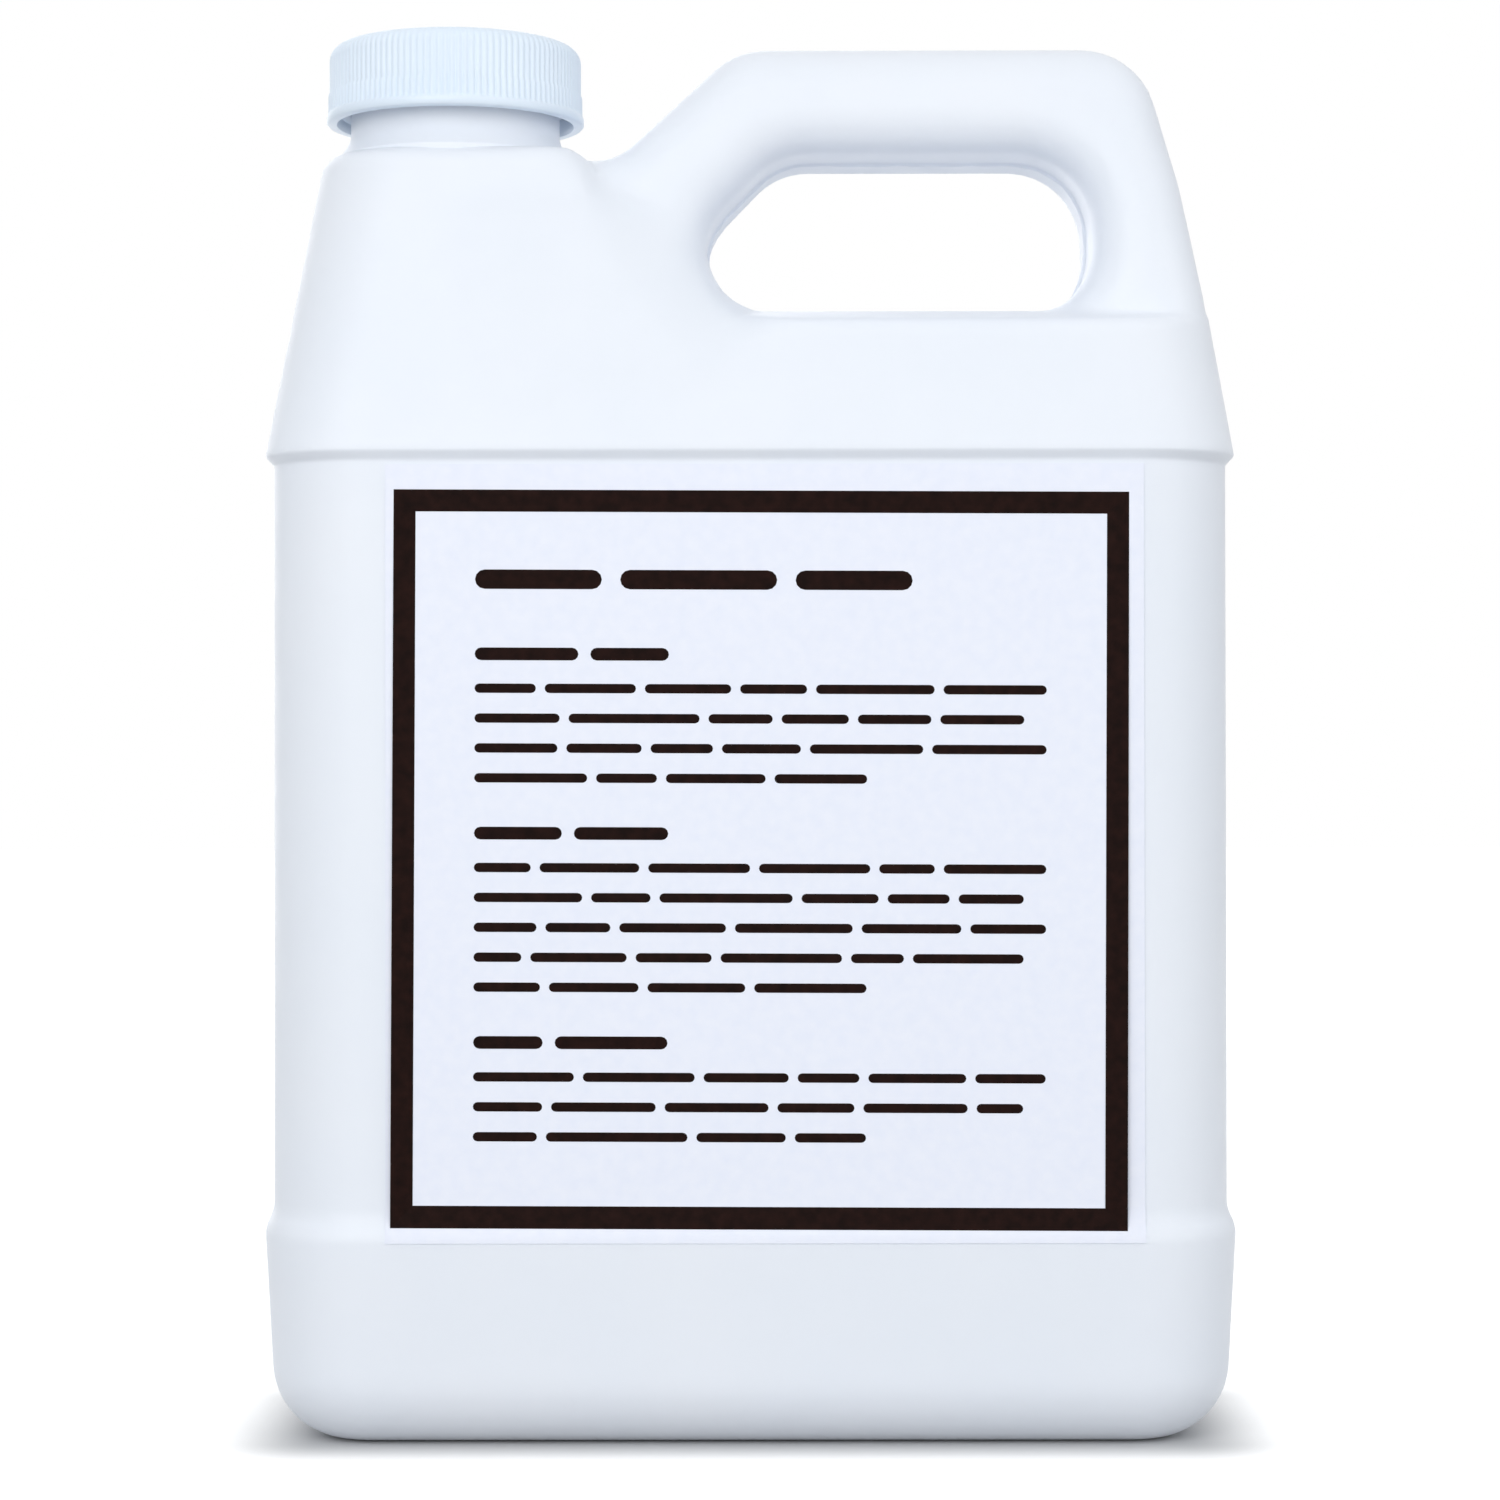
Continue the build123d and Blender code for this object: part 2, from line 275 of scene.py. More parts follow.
@dataclass
class SurfaceNet:
    """Turns a distance field into a mesh of quads that lies on its surface."""

    surface: Field
    lines: tuple[Array, Array, Array]
    settle_steps: int = 3
    probe: float = 0.04
    least_steepness: float = 0.1
    longest_move: float = 0.6

    def mesh(self) -> tuple[Array, Array]:
        """Builds the mesh.

        Returns:
            The points, one a row, and the quads as rows of point numbers.
        """
        grid = np.meshgrid(*self.lines, indexing="ij")
        values = self.surface(*grid)
        inside = values < 0
        corners = sum(
            inside[a : a - 1 or None, b : b - 1 or None, c : c - 1 or None].astype(np.int8)
            for a in (0, 1)
            for b in (0, 1)
            for c in (0, 1)
        )
        active = (corners > 0) & (corners < 8)
        numbers = np.full(active.shape, -1)
        numbers[active] = np.arange(active.sum())
        points = self._crossings(values, inside)[:, active].T
        quads = np.concatenate([self._quads(axis, inside, numbers) for axis in range(3)])
        return self._settle(points), quads

    def _crossings(self, values: Array, inside: Array) -> Array:
        """The mean of the places where each cell's edges cross the surface.

        Args:
            values: The field at the grid's points.
            inside: Where it is negative.

        Returns:
            Three arrays over the cells, for X, Y and Z.
        """
        cells = tuple(n - 1 for n in values.shape)
        total = np.zeros((3, *cells))
        count = np.zeros(cells)
        for axis in range(3):
            first = [slice(None)] * 3
            second = [slice(None)] * 3
            first[axis], second[axis] = slice(None, -1), slice(1, None)
            a, b = values[tuple(first)], values[tuple(second)]
            cut = inside[tuple(first)] != inside[tuple(second)]
            share = np.where(cut, a / np.where(cut, a - b, 1), 0)
            place = [0.0, 0.0, 0.0]
            for other in range(3):
                shape = [1, 1, 1]
                shape[other] = -1
                line = self.lines[other]
                if other == axis:
                    place[other] = line[:-1].reshape(shape) + share * np.diff(line).reshape(shape)
                else:
                    place[other] = np.broadcast_to(line.reshape(shape), cut.shape)
            sides = [other for other in range(3) if other != axis]
            for i in (0, 1):
                for j in (0, 1):
                    part = [slice(None)] * 3
                    part[sides[0]] = slice(i, i - 1 or None)
                    part[sides[1]] = slice(j, j - 1 or None)
                    here = cut[tuple(part)]
                    count += here
                    for other in range(3):
                        total[other] += here * place[other][tuple(part)]
        return total / np.maximum(count, 1)

    def _quads(self, axis: int, inside: Array, numbers: Array) -> Array:
        """The quads that cross the grid's edges along one axis.

        Args:
            axis: The axis, 0 to 2.
            inside: Which grid points lie inside the solid.
            numbers: The point number of each cell.

        Returns:
            Rows of four point numbers, wound to face outwards.
        """
        flags = np.moveaxis(inside, [axis, (axis + 1) % 3, (axis + 2) % 3], [0, 1, 2])
        cells = np.moveaxis(numbers, [axis, (axis + 1) % 3, (axis + 2) % 3], [0, 1, 2])
        low, high = flags[:-1, 1:-1, 1:-1], flags[1:, 1:-1, 1:-1]
        ring = [cells[:, :-1, :-1], cells[:, 1:, :-1], cells[:, 1:, 1:], cells[:, :-1, 1:]]
        outwards = np.stack([part[low & ~high] for part in ring], axis=1)
        inwards = np.stack([part[~low & high] for part in reversed(ring)], axis=1)
        return np.concatenate([outwards, inwards])

    def _settle(self, points: Array) -> Array:
        """Moves points along the field's slope until they lie on its surface.

        Args:
            points: The points, one a row.

        Returns:
            The moved points.
        """
        for _ in range(self.settle_steps):
            slope = np.empty_like(points)
            for axis in range(3):
                step = np.zeros(3)
                step[axis] = self.probe
                ahead, behind = points + step, points - step
                slope[:, axis] = (self.surface(*ahead.T) - self.surface(*behind.T)) / (2 * self.probe)
            steepness = np.maximum((slope**2).sum(axis=1), self.least_steepness)
            move = -(self.surface(*points.T) / steepness)[:, None] * slope
            length = np.linalg.norm(move, axis=1, keepdims=True)
            points = points + move * np.minimum(1, self.longest_move / np.maximum(length, 1e-9))
        return points


def new_piece(name: str, points: Array, faces: Sequence[Sequence[int]]) -> bpy.types.Object:
    """Makes an object from points in millimetres.

    Args:
        name: The object's name.
        points: The points, one a row.
        faces: Each face as point numbers.

    Returns:
        The new object, in the scene.
    """
    mesh = bpy.data.meshes.new(name)
    mesh.from_pydata((np.asarray(points) * MM).tolist(), [], [tuple(map(int, f)) for f in faces])
    mesh.validate()
    obj = bpy.data.objects.new(name, mesh)
    bpy.context.scene.collection.objects.link(obj)
    return obj


def combine(body: bpy.types.Object, tool: bpy.types.Object, how: Combine) -> None:
    """Joins a solid to another or cuts it out, and removes it.

    Args:
        body: The solid that stays.
        tool: The solid that is used up.
        how: Whether it is joined or cut out.
    """
    modifier = body.modifiers.new("combine", "BOOLEAN")
    modifier.object = tool
    modifier.operation = how.value
    modifier.solver = "MANIFOLD"
    graph = bpy.context.evaluated_depsgraph_get()
    made = bpy.data.meshes.new_from_object(body.evaluated_get(graph))
    body.modifiers.clear()
    old = body.data
    made.name = body.name
    body.data = made
    bpy.data.meshes.remove(old)
    bpy.data.objects.remove(tool)


def shade(obj: bpy.types.Object, sharp_degrees: float) -> None:
    """Shades a piece smooth, apart from its sharp edges.

    Args:
        obj: The piece.
        sharp_degrees: Faces that meet at more than this keep a sharp edge.
    """
    obj.data.shade_smooth()
    obj.data.set_sharp_from_angle(angle=math.radians(sharp_degrees))


@dataclass(frozen=True)
class Ring:
    """One ring of a turned solid."""

    radius: float
    z: float
    ribbed: float = 0.0


@dataclass
class Lathe:
    """A solid turned about an upright axis, from the axis and back to it."""

    axis_x: float
    segments: int
    relief: Array | None = None

    def solid(self, name: str, rings: Sequence[Ring]) -> bpy.types.Object:
        """Turns a solid.

        Args:
            name: The object's name.
            rings: Its rings in order, where the first and the last are the points on the axis.

        Returns:
            The solid.
        """
        angles = np.arange(self.segments) * (2 * math.pi / self.segments)
        relief = np.zeros(self.segments) if self.relief is None else self.relief
        rows = [[[self.axis_x, 0, rings[0].z]], [[self.axis_x, 0, rings[-1].z]]]
        for ring in rings[1:-1]:
            radius = ring.radius - ring.ribbed * relief
            x = self.axis_x + radius * np.cos(angles)
            rows.append(np.stack([x, radius * np.sin(angles), np.full(self.segments, ring.z)], axis=1))
        return new_piece(name, np.concatenate(rows), self._faces(len(rings) - 2))

    def _faces(self, ring_count: int) -> list[tuple[int, ...]]:
        """The faces between the rings, and the fans at both ends.

        Args:
            ring_count: How many full rings there are.

        Returns:
            The faces as point numbers.
        """
        count = self.segments
        last = 2 + (ring_count - 1) * count
        faces: list[tuple[int, ...]] = []
        for i in range(count):
            j = (i + 1) % count
            faces.append((0, 2 + j, 2 + i))
            faces.append((1, last + i, last + j))
            for ring in range(ring_count - 1):
                low, high = 2 + ring * count, 2 + (ring + 1) * count
                faces.append((low + i, low + j, high + j, high + i))
        return faces


@dataclass(frozen=True)
class ThreadRidge:
    """A helical thread on a wall, outwards for a positive height, else inwards."""

    wall_radius: float
    height: float
    root_width: float
    crest_width: float
    pitch: float
    start_z: float
    start_turn: float
    turns: float = 1.0
    flank_share: float = 0.55
    crest_share: float = 0.93
    burial: float = 0.3
    fade_share: float = 0.07
    end_sink: float = 0.05
    steps: int = 144

    def solid(self, name: str, axis_x: float) -> bpy.types.Object:
        """Builds the ridge as a closed tube that is buried in its wall.

        Args:
            name: The object's name.
            axis_x: Where the thread's axis stands.

        Returns:
            The ridge.
        """
        side = 1 if self.height > 0 else -1
        shoulder = (self.crest_width + self.root_width) / 4
        outline = [
            (-side * self.burial, -self.root_width / 2, 0),
            (0, -self.root_width / 2, 0),
            (self.flank_share * self.height, -shoulder, 1),
            (self.crest_share * self.height, -self.crest_width / 2, 1),
            (self.height, 0, 1),
            (self.crest_share * self.height, self.crest_width / 2, 1),
            (self.flank_share * self.height, shoulder, 1),
            (0, self.root_width / 2, 0),
            (-side * self.burial, self.root_width / 2, 0),
        ]
        points = []
        for step in range(self.steps + 1):
            share = step / self.steps
            fade = min(share, 1 - share) / self.fade_share
            rise = math.sin(min(fade, 1) * math.pi / 2)
            angle = 2 * math.pi * (self.start_turn + share * self.turns)
            for out, up, raised in outline:
                reach = out * rise - side * self.end_sink * (1 - rise) if raised else out
                radius = self.wall_radius + reach
                points.append(
                    (
                        axis_x + radius * math.cos(angle),
                        radius * math.sin(angle),
                        self.start_z + self.pitch * share * self.turns + up,
                    )
                )
        return new_piece(name, np.array(points), self._faces(len(outline), side))

    def _faces(self, count: int, side: int) -> list[tuple[int, ...]]:
        """The ridge's faces.

        Args:
            count: Points in its outline.
            side: 1 for a ridge that stands outwards, else -1.

        Returns:
            The faces as point numbers, wound to face outwards.
        """
        faces: list[tuple[int, ...]] = []
        for step in range(self.steps):
            low, high = step * count, (step + 1) * count
            for i in range(count):
                j = (i + 1) % count
                faces.append((low + i, high + i, high + j, low + j))
        end = self.steps * count
        faces.append(tuple(range(count)))
        faces.append(tuple(end + i for i in reversed(range(count))))
        return faces if side > 0 else [tuple(reversed(face)) for face in faces]


# ---------------------------------------------------------------- finishes


class Socket(Enum):
    """Kinds of socket on a shared effect."""

    VALUE = "NodeSocketFloat"
    COLOUR = "NodeSocketColor"
    VECTOR = "NodeSocketVector"


@dataclass
class NodeBoard:
    """A node tree, with short ways to add nodes and join them."""

    tree: bpy.types.NodeTree

    def add(self, kind: str, **settings: object) -> bpy.types.Node:
        """Adds a node and sets its attributes.

        Args:
            kind: The node's type.
            settings: Attributes and their values.

        Returns:
            The node.
        """
        node = self.tree.nodes.new(kind)
        for name, value in settings.items():
            setattr(node, name, value)
        return node

    def join(self, source: bpy.types.NodeSocket, target: bpy.types.NodeSocket) -> None:
        """Joins two sockets."""
        self.tree.links.new(source, target)

    def math(self, operation: str, *values: object) -> bpy.types.NodeSocket:
        """Adds a sum of sockets and numbers.

        Args:
            operation: The sum's kind.
            values: Its inputs.

        Returns:
            The result's socket.
        """
        node = self.add("ShaderNodeMath", operation=operation)
        for place, value in zip(node.inputs, values):
            if isinstance(value, bpy.types.NodeSocket):
                self.join(value, place)
            else:
                place.default_value = value
        return node.outputs[0]

    def noise(self, vector: bpy.types.NodeSocket, scale: float, detail: float) -> bpy.types.NodeSocket:
        """Adds a noise texture.

        Args:
            vector: Its coordinates.
            scale: Its scale, in waves a metre.
            detail: Its detail.

        Returns:
            The noise's value.
        """
        node = self.add("ShaderNodeTexNoise")
        node.inputs["Scale"].default_value = scale
        node.inputs["Detail"].default_value = detail
        self.join(vector, node.inputs["Vector"])
        return node.outputs["Fac"]

    def spread(self, value: bpy.types.NodeSocket, low: object, high: object) -> bpy.types.NodeSocket:
        """Maps a value from the middle of its noise to a range.

        Args:
            value: The noise.
            low: What a low value gives.
            high: What a high value gives.

        Returns:
            The mapped value.
        """
        node = self.add("ShaderNodeMapRange")
        node.inputs["From Min"].default_value = 0.3
        node.inputs["From Max"].default_value = 0.7
        self.join(value, node.inputs["Value"])
        for name, limit in (("To Min", low), ("To Max", high)):
            if isinstance(limit, bpy.types.NodeSocket):
                self.join(limit, node.inputs[name])
            else:
                node.inputs[name].default_value = limit
        return node.outputs["Result"]

    def mix(self, share: bpy.types.NodeSocket, a: object, b: object) -> bpy.types.NodeSocket:
        """Mixes two colours.

        Args:
            share: How much of the second there is.
            a: The first colour, as a socket or four numbers.
            b: The second.

        Returns:
            The mixed colour.
        """
        node = self.add("ShaderNodeMix", data_type="RGBA")
        self.join(share, node.inputs[0])
        for place, value in ((node.inputs[6], a), (node.inputs[7], b)):
            if isinstance(value, bpy.types.NodeSocket):
                self.join(value, place)
            else:
                place.default_value = value
        return node.outputs[2]


def colour(tint: Tint) -> tuple[float, float, float, float]:
    """A linear colour from a screen colour of 0 to 255.

    Args:
        tint: Red, green and blue as a screen shows them.

    Returns:
        Linear red, green, blue and a full alpha.
    """
    linear = [((c / 255 + 0.055) / 1.055) ** 2.4 if c > 10.31 else c / 255 / 12.92 for c in tint]
    return (*linear, 1.0)


@dataclass
class SharedEffect:
    """A node group that several materials use, built once."""

    name: str
    inputs: dict[str, Socket]
    outputs: dict[str, Socket]

    def board(self) -> tuple[NodeBoard, bpy.types.Node, bpy.types.Node]:
        """Makes the empty group.

        Returns:
            The group's board, its input node and its output node.
        """
        tree = bpy.data.node_groups.new(self.name, "ShaderNodeTree")
        for name, kind in self.inputs.items():
            tree.interface.new_socket(name, in_out="INPUT", socket_type=kind.value)
        for name, kind in self.outputs.items():
            tree.interface.new_socket(name, in_out="OUTPUT", socket_type=kind.value)
        board = NodeBoard(tree)
        return board, board.add("NodeGroupInput"), board.add("NodeGroupOutput")


def moulded_skin() -> bpy.types.NodeTree:
    """The skin of moulded plastic: faint clouding, a broad waviness and a fine grain.

    Returns:
        The group, with a colour, a roughness and a height.
    """
    effect = SharedEffect(
        "moulded_skin",
        {
            "Clear Tint": Socket.COLOUR,
            "Cloud Tint": Socket.COLOUR,
            "Least Roughness": Socket.VALUE,
            "Most Roughness": Socket.VALUE,
            "Grain": Socket.VALUE,
        },
        {"Color": Socket.COLOUR, "Roughness": Socket.VALUE, "Height": Socket.VALUE},
    )
    board, start, end = effect.board()
    place = board.add("ShaderNodeTexCoord").outputs["Object"]
    clouds = board.spread(board.noise(place, 38.0, 3.0), 0.0, 1.0)
    patches = board.noise(place, 210.0, 4.0)
    grain = board.noise(place, 2600.0, 2.0)
    waves = board.noise(place, 90.0, 2.0)
    tint = board.mix(clouds, start.outputs["Clear Tint"], start.outputs["Cloud Tint"])
    board.join(tint, end.inputs["Color"])
    rough = board.spread(patches, start.outputs["Least Roughness"], start.outputs["Most Roughness"])
    board.join(rough, end.inputs["Roughness"])
    fine = board.math("MULTIPLY", grain, start.outputs["Grain"])
    board.join(board.math("ADD", fine, waves), end.inputs["Height"])
    return board.tree


def paper_fibre() -> bpy.types.NodeTree:
    """Coated paper: a fibre tooth, faint mottling and an even sheen that varies a little.

    Returns:
        The group, with a colour, a roughness and a height.
    """
    effect = SharedEffect(
        "paper_fibre",
        {"Pale Tint": Socket.COLOUR, "Deep Tint": Socket.COLOUR, "Roughness": Socket.VALUE},
        {"Color": Socket.COLOUR, "Roughness": Socket.VALUE, "Height": Socket.VALUE},
    )
    board, start, end = effect.board()
    coordinates = board.add("ShaderNodeTexCoord").outputs["Object"]
    stretch = board.add("ShaderNodeMapping")
    stretch.inputs["Scale"].default_value = (1.0, 1.0, 2.6)
    board.join(coordinates, stretch.inputs["Vector"])
    fibre = board.noise(stretch.outputs["Vector"], 1500.0, 5.0)
    mottle = board.spread(board.noise(coordinates, 620.0, 4.0), 0.0, 1.0)
    tint = board.mix(mottle, start.outputs["Pale Tint"], start.outputs["Deep Tint"])
    board.join(tint, end.inputs["Color"])
    rough = board.math("MULTIPLY_ADD", mottle, 0.08, start.outputs["Roughness"])
    board.join(rough, end.inputs["Roughness"])
    board.join(fibre, end.inputs["Height"])
    return board.tree


@dataclass(frozen=True)
class Finish:
    """What every finish sets on its own Principled shader."""

    name: str
    specular: float
    bump_strength: float
    bump_depth: float

    def dress(self, inputs: dict[str, object], group: bpy.types.NodeTree) -> bpy.types.Material:
        """Makes a material around a shared effect.

        Args:
            inputs: The effect's own values in this material.
            group: The shared effect.

        Returns:
            The material.
        """
        material = bpy.data.materials.new(self.name)
        material.use_nodes = True
        board = NodeBoard(material.node_tree)
        shader = material.node_tree.nodes["Principled BSDF"]
        effect = board.add("ShaderNodeGroup", node_tree=group)
        for name, value in inputs.items():
            effect.inputs[name].default_value = value
        bump = board.add("ShaderNodeBump")
        bump.inputs["Strength"].default_value = self.bump_strength
        bump.inputs["Distance"].default_value = self.bump_depth * MM
        board.join(effect.outputs["Color"], shader.inputs["Base Color"])
        board.join(effect.outputs["Roughness"], shader.inputs["Roughness"])
        board.join(effect.outputs["Height"], bump.inputs["Height"])
        board.join(bump.outputs["Normal"], shader.inputs["Normal"])
        shader.inputs["Specular IOR Level"].default_value = self.specular
        return material


@dataclass(frozen=True)
class MouldedPlastic(Finish):
    """White polyethylene or polypropylene, a little translucent."""

    clear: Tint
    cloud: Tint
    least_roughness: float
    most_roughness: float
    grain: float
    translucence: float
    scatter_depth: float

    def material(self, group: bpy.types.NodeTree) -> bpy.types.Material:
        """The plastic's material.

        Args:
            group: The shared moulded skin.

        Returns:
            The material.
        """
        made = self.dress(
            {
                "Clear Tint": colour(self.clear),
                "Cloud Tint": colour(self.cloud),
                "Least Roughness": self.least_roughness,
                "Most Roughness": self.most_roughness,
                "Grain": self.grain,
            },
            group,
        )
        shader = made.node_tree.nodes["Principled BSDF"]
        shader.inputs["Subsurface Weight"].default_value = self.translucence
        shader.inputs["Subsurface Radius"].default_value = (1.0, 0.95, 1.0)
        shader.inputs["Subsurface Scale"].default_value = self.scatter_depth * MM
        return made


@dataclass(frozen=True)
class PaperLayer(Finish):
    """Label paper, or ink that has soaked into it."""

    pale: Tint
    deep: Tint
    roughness: float

    def material(self, group: bpy.types.NodeTree) -> bpy.types.Material:
        """The paper's material.

        Args:
            group: The shared paper fibre.

        Returns:
            The material.
        """
        return self.dress(
            {
                "Pale Tint": colour(self.pale),
                "Deep Tint": colour(self.deep),
                "Roughness": self.roughness,
            },
            group,
        )


JUG_PLASTIC = MouldedPlastic(
    "blown_polyethylene",
    specular=0.35,
    bump_strength=0.35,
    bump_depth=0.05,
    clear=(240, 244, 252),
    cloud=(237, 242, 251),
    least_roughness=0.36,
    most_roughness=0.46,
    grain=0.25,
    translucence=0.18,
    scatter_depth=2.5,
)
CAP_PLASTIC = MouldedPlastic(
    "ribbed_cap_plastic",
    specular=0.4,
    bump_strength=0.25,
    bump_depth=0.03,
    clear=(229, 240, 252),
    cloud=(226, 238, 251),
    least_roughness=0.32,
    most_roughness=0.4,
    grain=0.2,
    translucence=0.12,
    scatter_depth=1.5,
)
LINER_FOAM = MouldedPlastic(
    "liner_foam",
    specular=0.2,
    bump_strength=0.8,
    bump_depth=0.1,
    clear=(232, 232, 228),
    cloud=(224, 224, 220),
    least_roughness=0.7,
    most_roughness=0.85,
    grain=1.0,
    translucence=0.1,
    scatter_depth=0.8,
)
LABEL_PAPER = PaperLayer(
    "coated_label_paper",
    specular=0.3,
    bump_strength=0.25,
    bump_depth=0.02,
    pale=(239, 242, 252),
    deep=(235, 239, 251),
    roughness=0.48,
)
FRAME_INK = PaperLayer(
    "dark_print",
    specular=0.06,
    bump_strength=0.3,
    bump_depth=0.02,
    pale=(34, 16, 12),
    deep=(20, 9, 7),
    roughness=0.55,
)


@dataclass
class FinishShop:
    """Holds the shared effects and hands out materials."""

    skin: bpy.types.NodeTree = field(default_factory=moulded_skin)
    fibre: bpy.types.NodeTree = field(default_factory=paper_fibre)

    def plastic(self, finish: MouldedPlastic) -> bpy.types.Material:
        """A plastic's material."""
        return finish.material(self.skin)

    def paper(self, finish: PaperLayer) -> bpy.types.Material:
        """A paper's or an ink's material."""
        return finish.material(self.fibre)


# ---------------------------------------------------------------- the jug


@dataclass
class JugForm:
    """The jug's moulded form as distance fields."""

    half_width: float
    half_depth: float
    handle_top_z: float
    neck_x: float
    wall: float = 1.0
    corner_radius: float = 13.5
    base_radius: float = 9.8
    base_taper: float = 1.4
    lower_ridge_z: float = 28.8
    upper_ridge_z: float = 134.1
    panel_recess: float = 1.1
    lower_step: float = 2.6
    upper_lip: float = 1.2
    ridge_softness: float = 1.0
    lip_softness: float = 0.25
    push_up: float = 2.0
    push_up_inset: float = 12.0
    push_up_run: float = 5.0
    shelf_z: float = 151.9
    deck_z: float = 176.7
    left_lean: float = 7.1
    right_lean: float = 6.6
    front_lean: float = 9.1
    shelf_crown: float = 3.3
    deck_edge_radius: float = 2.6
    flank_edge_radius: float = 9.0
    shelf_edge_radius: float = 1.2
    dome_foot_reach: float = 46.5
    saddle_width: float = 5.0
    saddle_drop: float = 1.1
    leg_slope_run: float = 16.7
    leg_width: float = 14.2
    handle_bar: float = 14.8
    handle_post: float = 16.3
    post_inset: float = 0.4
    handle_back_lean: float = 9.2
    handle_bulge: float = 0.8
    back_curve: float = 60.0
    back_corner: float = 10.5
    front_corner: float = 10.0
    saddle_radius: float = 8.0
    handle_foot_depth: float = 14.0
    hole_foot_sink: float = 2.0
    hole_left_radius: float = 9.3
    hole_right_radius: float = 10.3
    hole_post_radius: float = 10.5
    hole_leg_radius: float = 10.0
    handle_rounding: float = 6.4
    handle_top_half: float = 12.0
    handle_foot_half: float = 18.5
    deck_bend: float = 2.5
    flank_valley: float = 2.0
    deck_to_flank: Span = (-6.0, 8.0)
    flank_to_shelf: Span = (-8.0, 8.0)
    saddle_fillet: float = 6.0
    leg_fillet: float = 1.6
    back_fillet: float = 0.4
    saddle_to_leg: Span = (-10.0, 6.0)
    leg_to_back: Span = (40.0, 56.0)
    below_deck: Span = (-11.0, -3.0)
    hole_start: Span = (-3.0, 4.0)
    hole_end: Span = (38.0, 45.0)
    saddle_thinning: float = 0.93
    hole_thinning: float = 0.85
    handle_reach_down: float = 22.0
    parting_height: float = 0.1
    parting_width: float = 0.28
    parting_start: Span = (0.3, 4.0)
    flash_height: float = 0.4
    flash_width: float = 1.6
    flash_foot: Span = (4.0, 9.0)
    foot_thinning: float = 0.7
    lump_x: float = 31.0
    lump_width: float = 3.4
    lump_height: float = 1.7
    deck_end_x: float = field(init=False)
    flank_run: float = field(init=False)
    outer: Outline = field(init=False)
    hole: Outline = field(init=False)

    def __post_init__(self) -> None:
        """Places the deck's end, then draws the handle's outline and the finger hole."""
        self.deck_end_x = 2 * self.neck_x + self.half_width - self.left_lean
        self.flank_run = self.dome_foot_reach - (self.deck_z - self.shelf_z)
        slope_end = self.deck_end_x + self.saddle_width + self.leg_slope_run
        self.outer = self._handle_outline(slope_end)
        self.hole = self._hole_outline(slope_end)

    def _handle_outline(self, slope_end: float) -> Outline:
        """The handle seen from the front.

        Args:
            slope_end: Where its sloping leg meets the top bar.

        Returns:
            The outline.
        """
        foot = self.shelf_z - self.handle_foot_depth
        back = self.half_width - self.lean(self.shelf_z, self.right_lean) - self.post_inset
        lean = self.handle_back_lean
        middle = (self.handle_top_z + self.shelf_z) / 2
        saddle = self.deck_z - self.saddle_drop
        return Outline(
            [
                Corner(self.neck_x, foot),
                Corner(back, foot),
                Corner(back, self.shelf_z, self.back_curve),
                Corner(back - lean / 2 + self.handle_bulge, middle, self.back_curve),
                Corner(back - lean, self.handle_top_z, self.back_corner),
                Corner(slope_end, self.handle_top_z, self.front_corner),
                Corner(slope_end - self.leg_slope_run, saddle, self.saddle_radius),
                Corner(self.neck_x, saddle),
            ]
        )

    def _hole_outline(self, slope_end: float) -> Outline:
        """The finger hole, whose left side runs at 45 degrees along the sloping leg.

        Args:
            slope_end: Where that leg meets the top bar.

        Returns:
            The outline.
        """
        top = self.handle_top_z - self.handle_bar
        foot = self.shelf_z + self.shelf_crown - self.hole_foot_sink
        right = self.half_width - self.handle_post - self.lean(self.shelf_z, self.right_lean)
        slope_top = slope_end + self.leg_width * (math.sqrt(2) - 1)
        return Outline(
            [
                Corner(slope_top - (top - foot), foot, self.hole_left_radius),
                Corner(right, foot, self.hole_right_radius),
                Corner(right, top, self.hole_post_radius),
                Corner(slope_top, top, self.hole_leg_radius),
            ]
        )

    def lean(self, z: Array | float, total: float) -> Array | float:
        """How far a side of the shoulder has leaned in at height z."""
        return total * (z - self.upper_ridge_z) / (self.deck_z - self.upper_ridge_z)

    def inset(self, z: Array, lean_total: float, step_softness: float | None = None) -> Array:
        """How far a side lies inside the jug's box at height z.

        Args:
            z: Heights.
            lean_total: How far that side leans in by the deck.
            step_softness: Softness of the step over the lower ridge, if it isn't the jug's own.

        Returns:
            The insets.
        """
        taper = -self.base_taper / self.lower_ridge_z
        step = self.panel_recess / self.lower_step
        lip = -self.panel_recess / self.upper_lip
        lean = lean_total / (self.deck_z - self.upper_ridge_z)
        soft = step_softness or self.ridge_softness
        bends = (
            (self.lower_ridge_z, step - taper, self.ridge_softness),
            (self.lower_ridge_z + self.lower_step, -step, soft),
            (self.upper_ridge_z - self.upper_lip, lip, self.lip_softness),
            (self.upper_ridge_z, lean - lip, self.lip_softness),
        )
        total = self.base_taper + taper * z
        for place, change, softness in bends:
            total = total + change * ramp(z - place, softness)
        return total

    def side(self, x: Array, y: Array, z: Array) -> Array:
        """Distance to the upright sides, in the plane at height z.

        Args:
            x: Places across.
            y: Places from front to back.
            z: Heights.

        Returns:
            The distances, negative inside.
        """
        left = self.inset(z, self.left_lean) - self.half_width
        right = self.half_width - self.inset(z, self.right_lean)
        half_depth = self.half_depth - self.inset(z, self.front_lean)
        middle, half = (left + right) / 2, (right - left) / 2
        across = np.abs(x - middle) - (half - self.corner_radius)
        along = np.abs(y) - (half_depth - self.corner_radius)
        outside = np.hypot(np.maximum(across, 0), np.maximum(along, 0))
        return outside + np.minimum(np.maximum(across, along), 0) - self.corner_radius

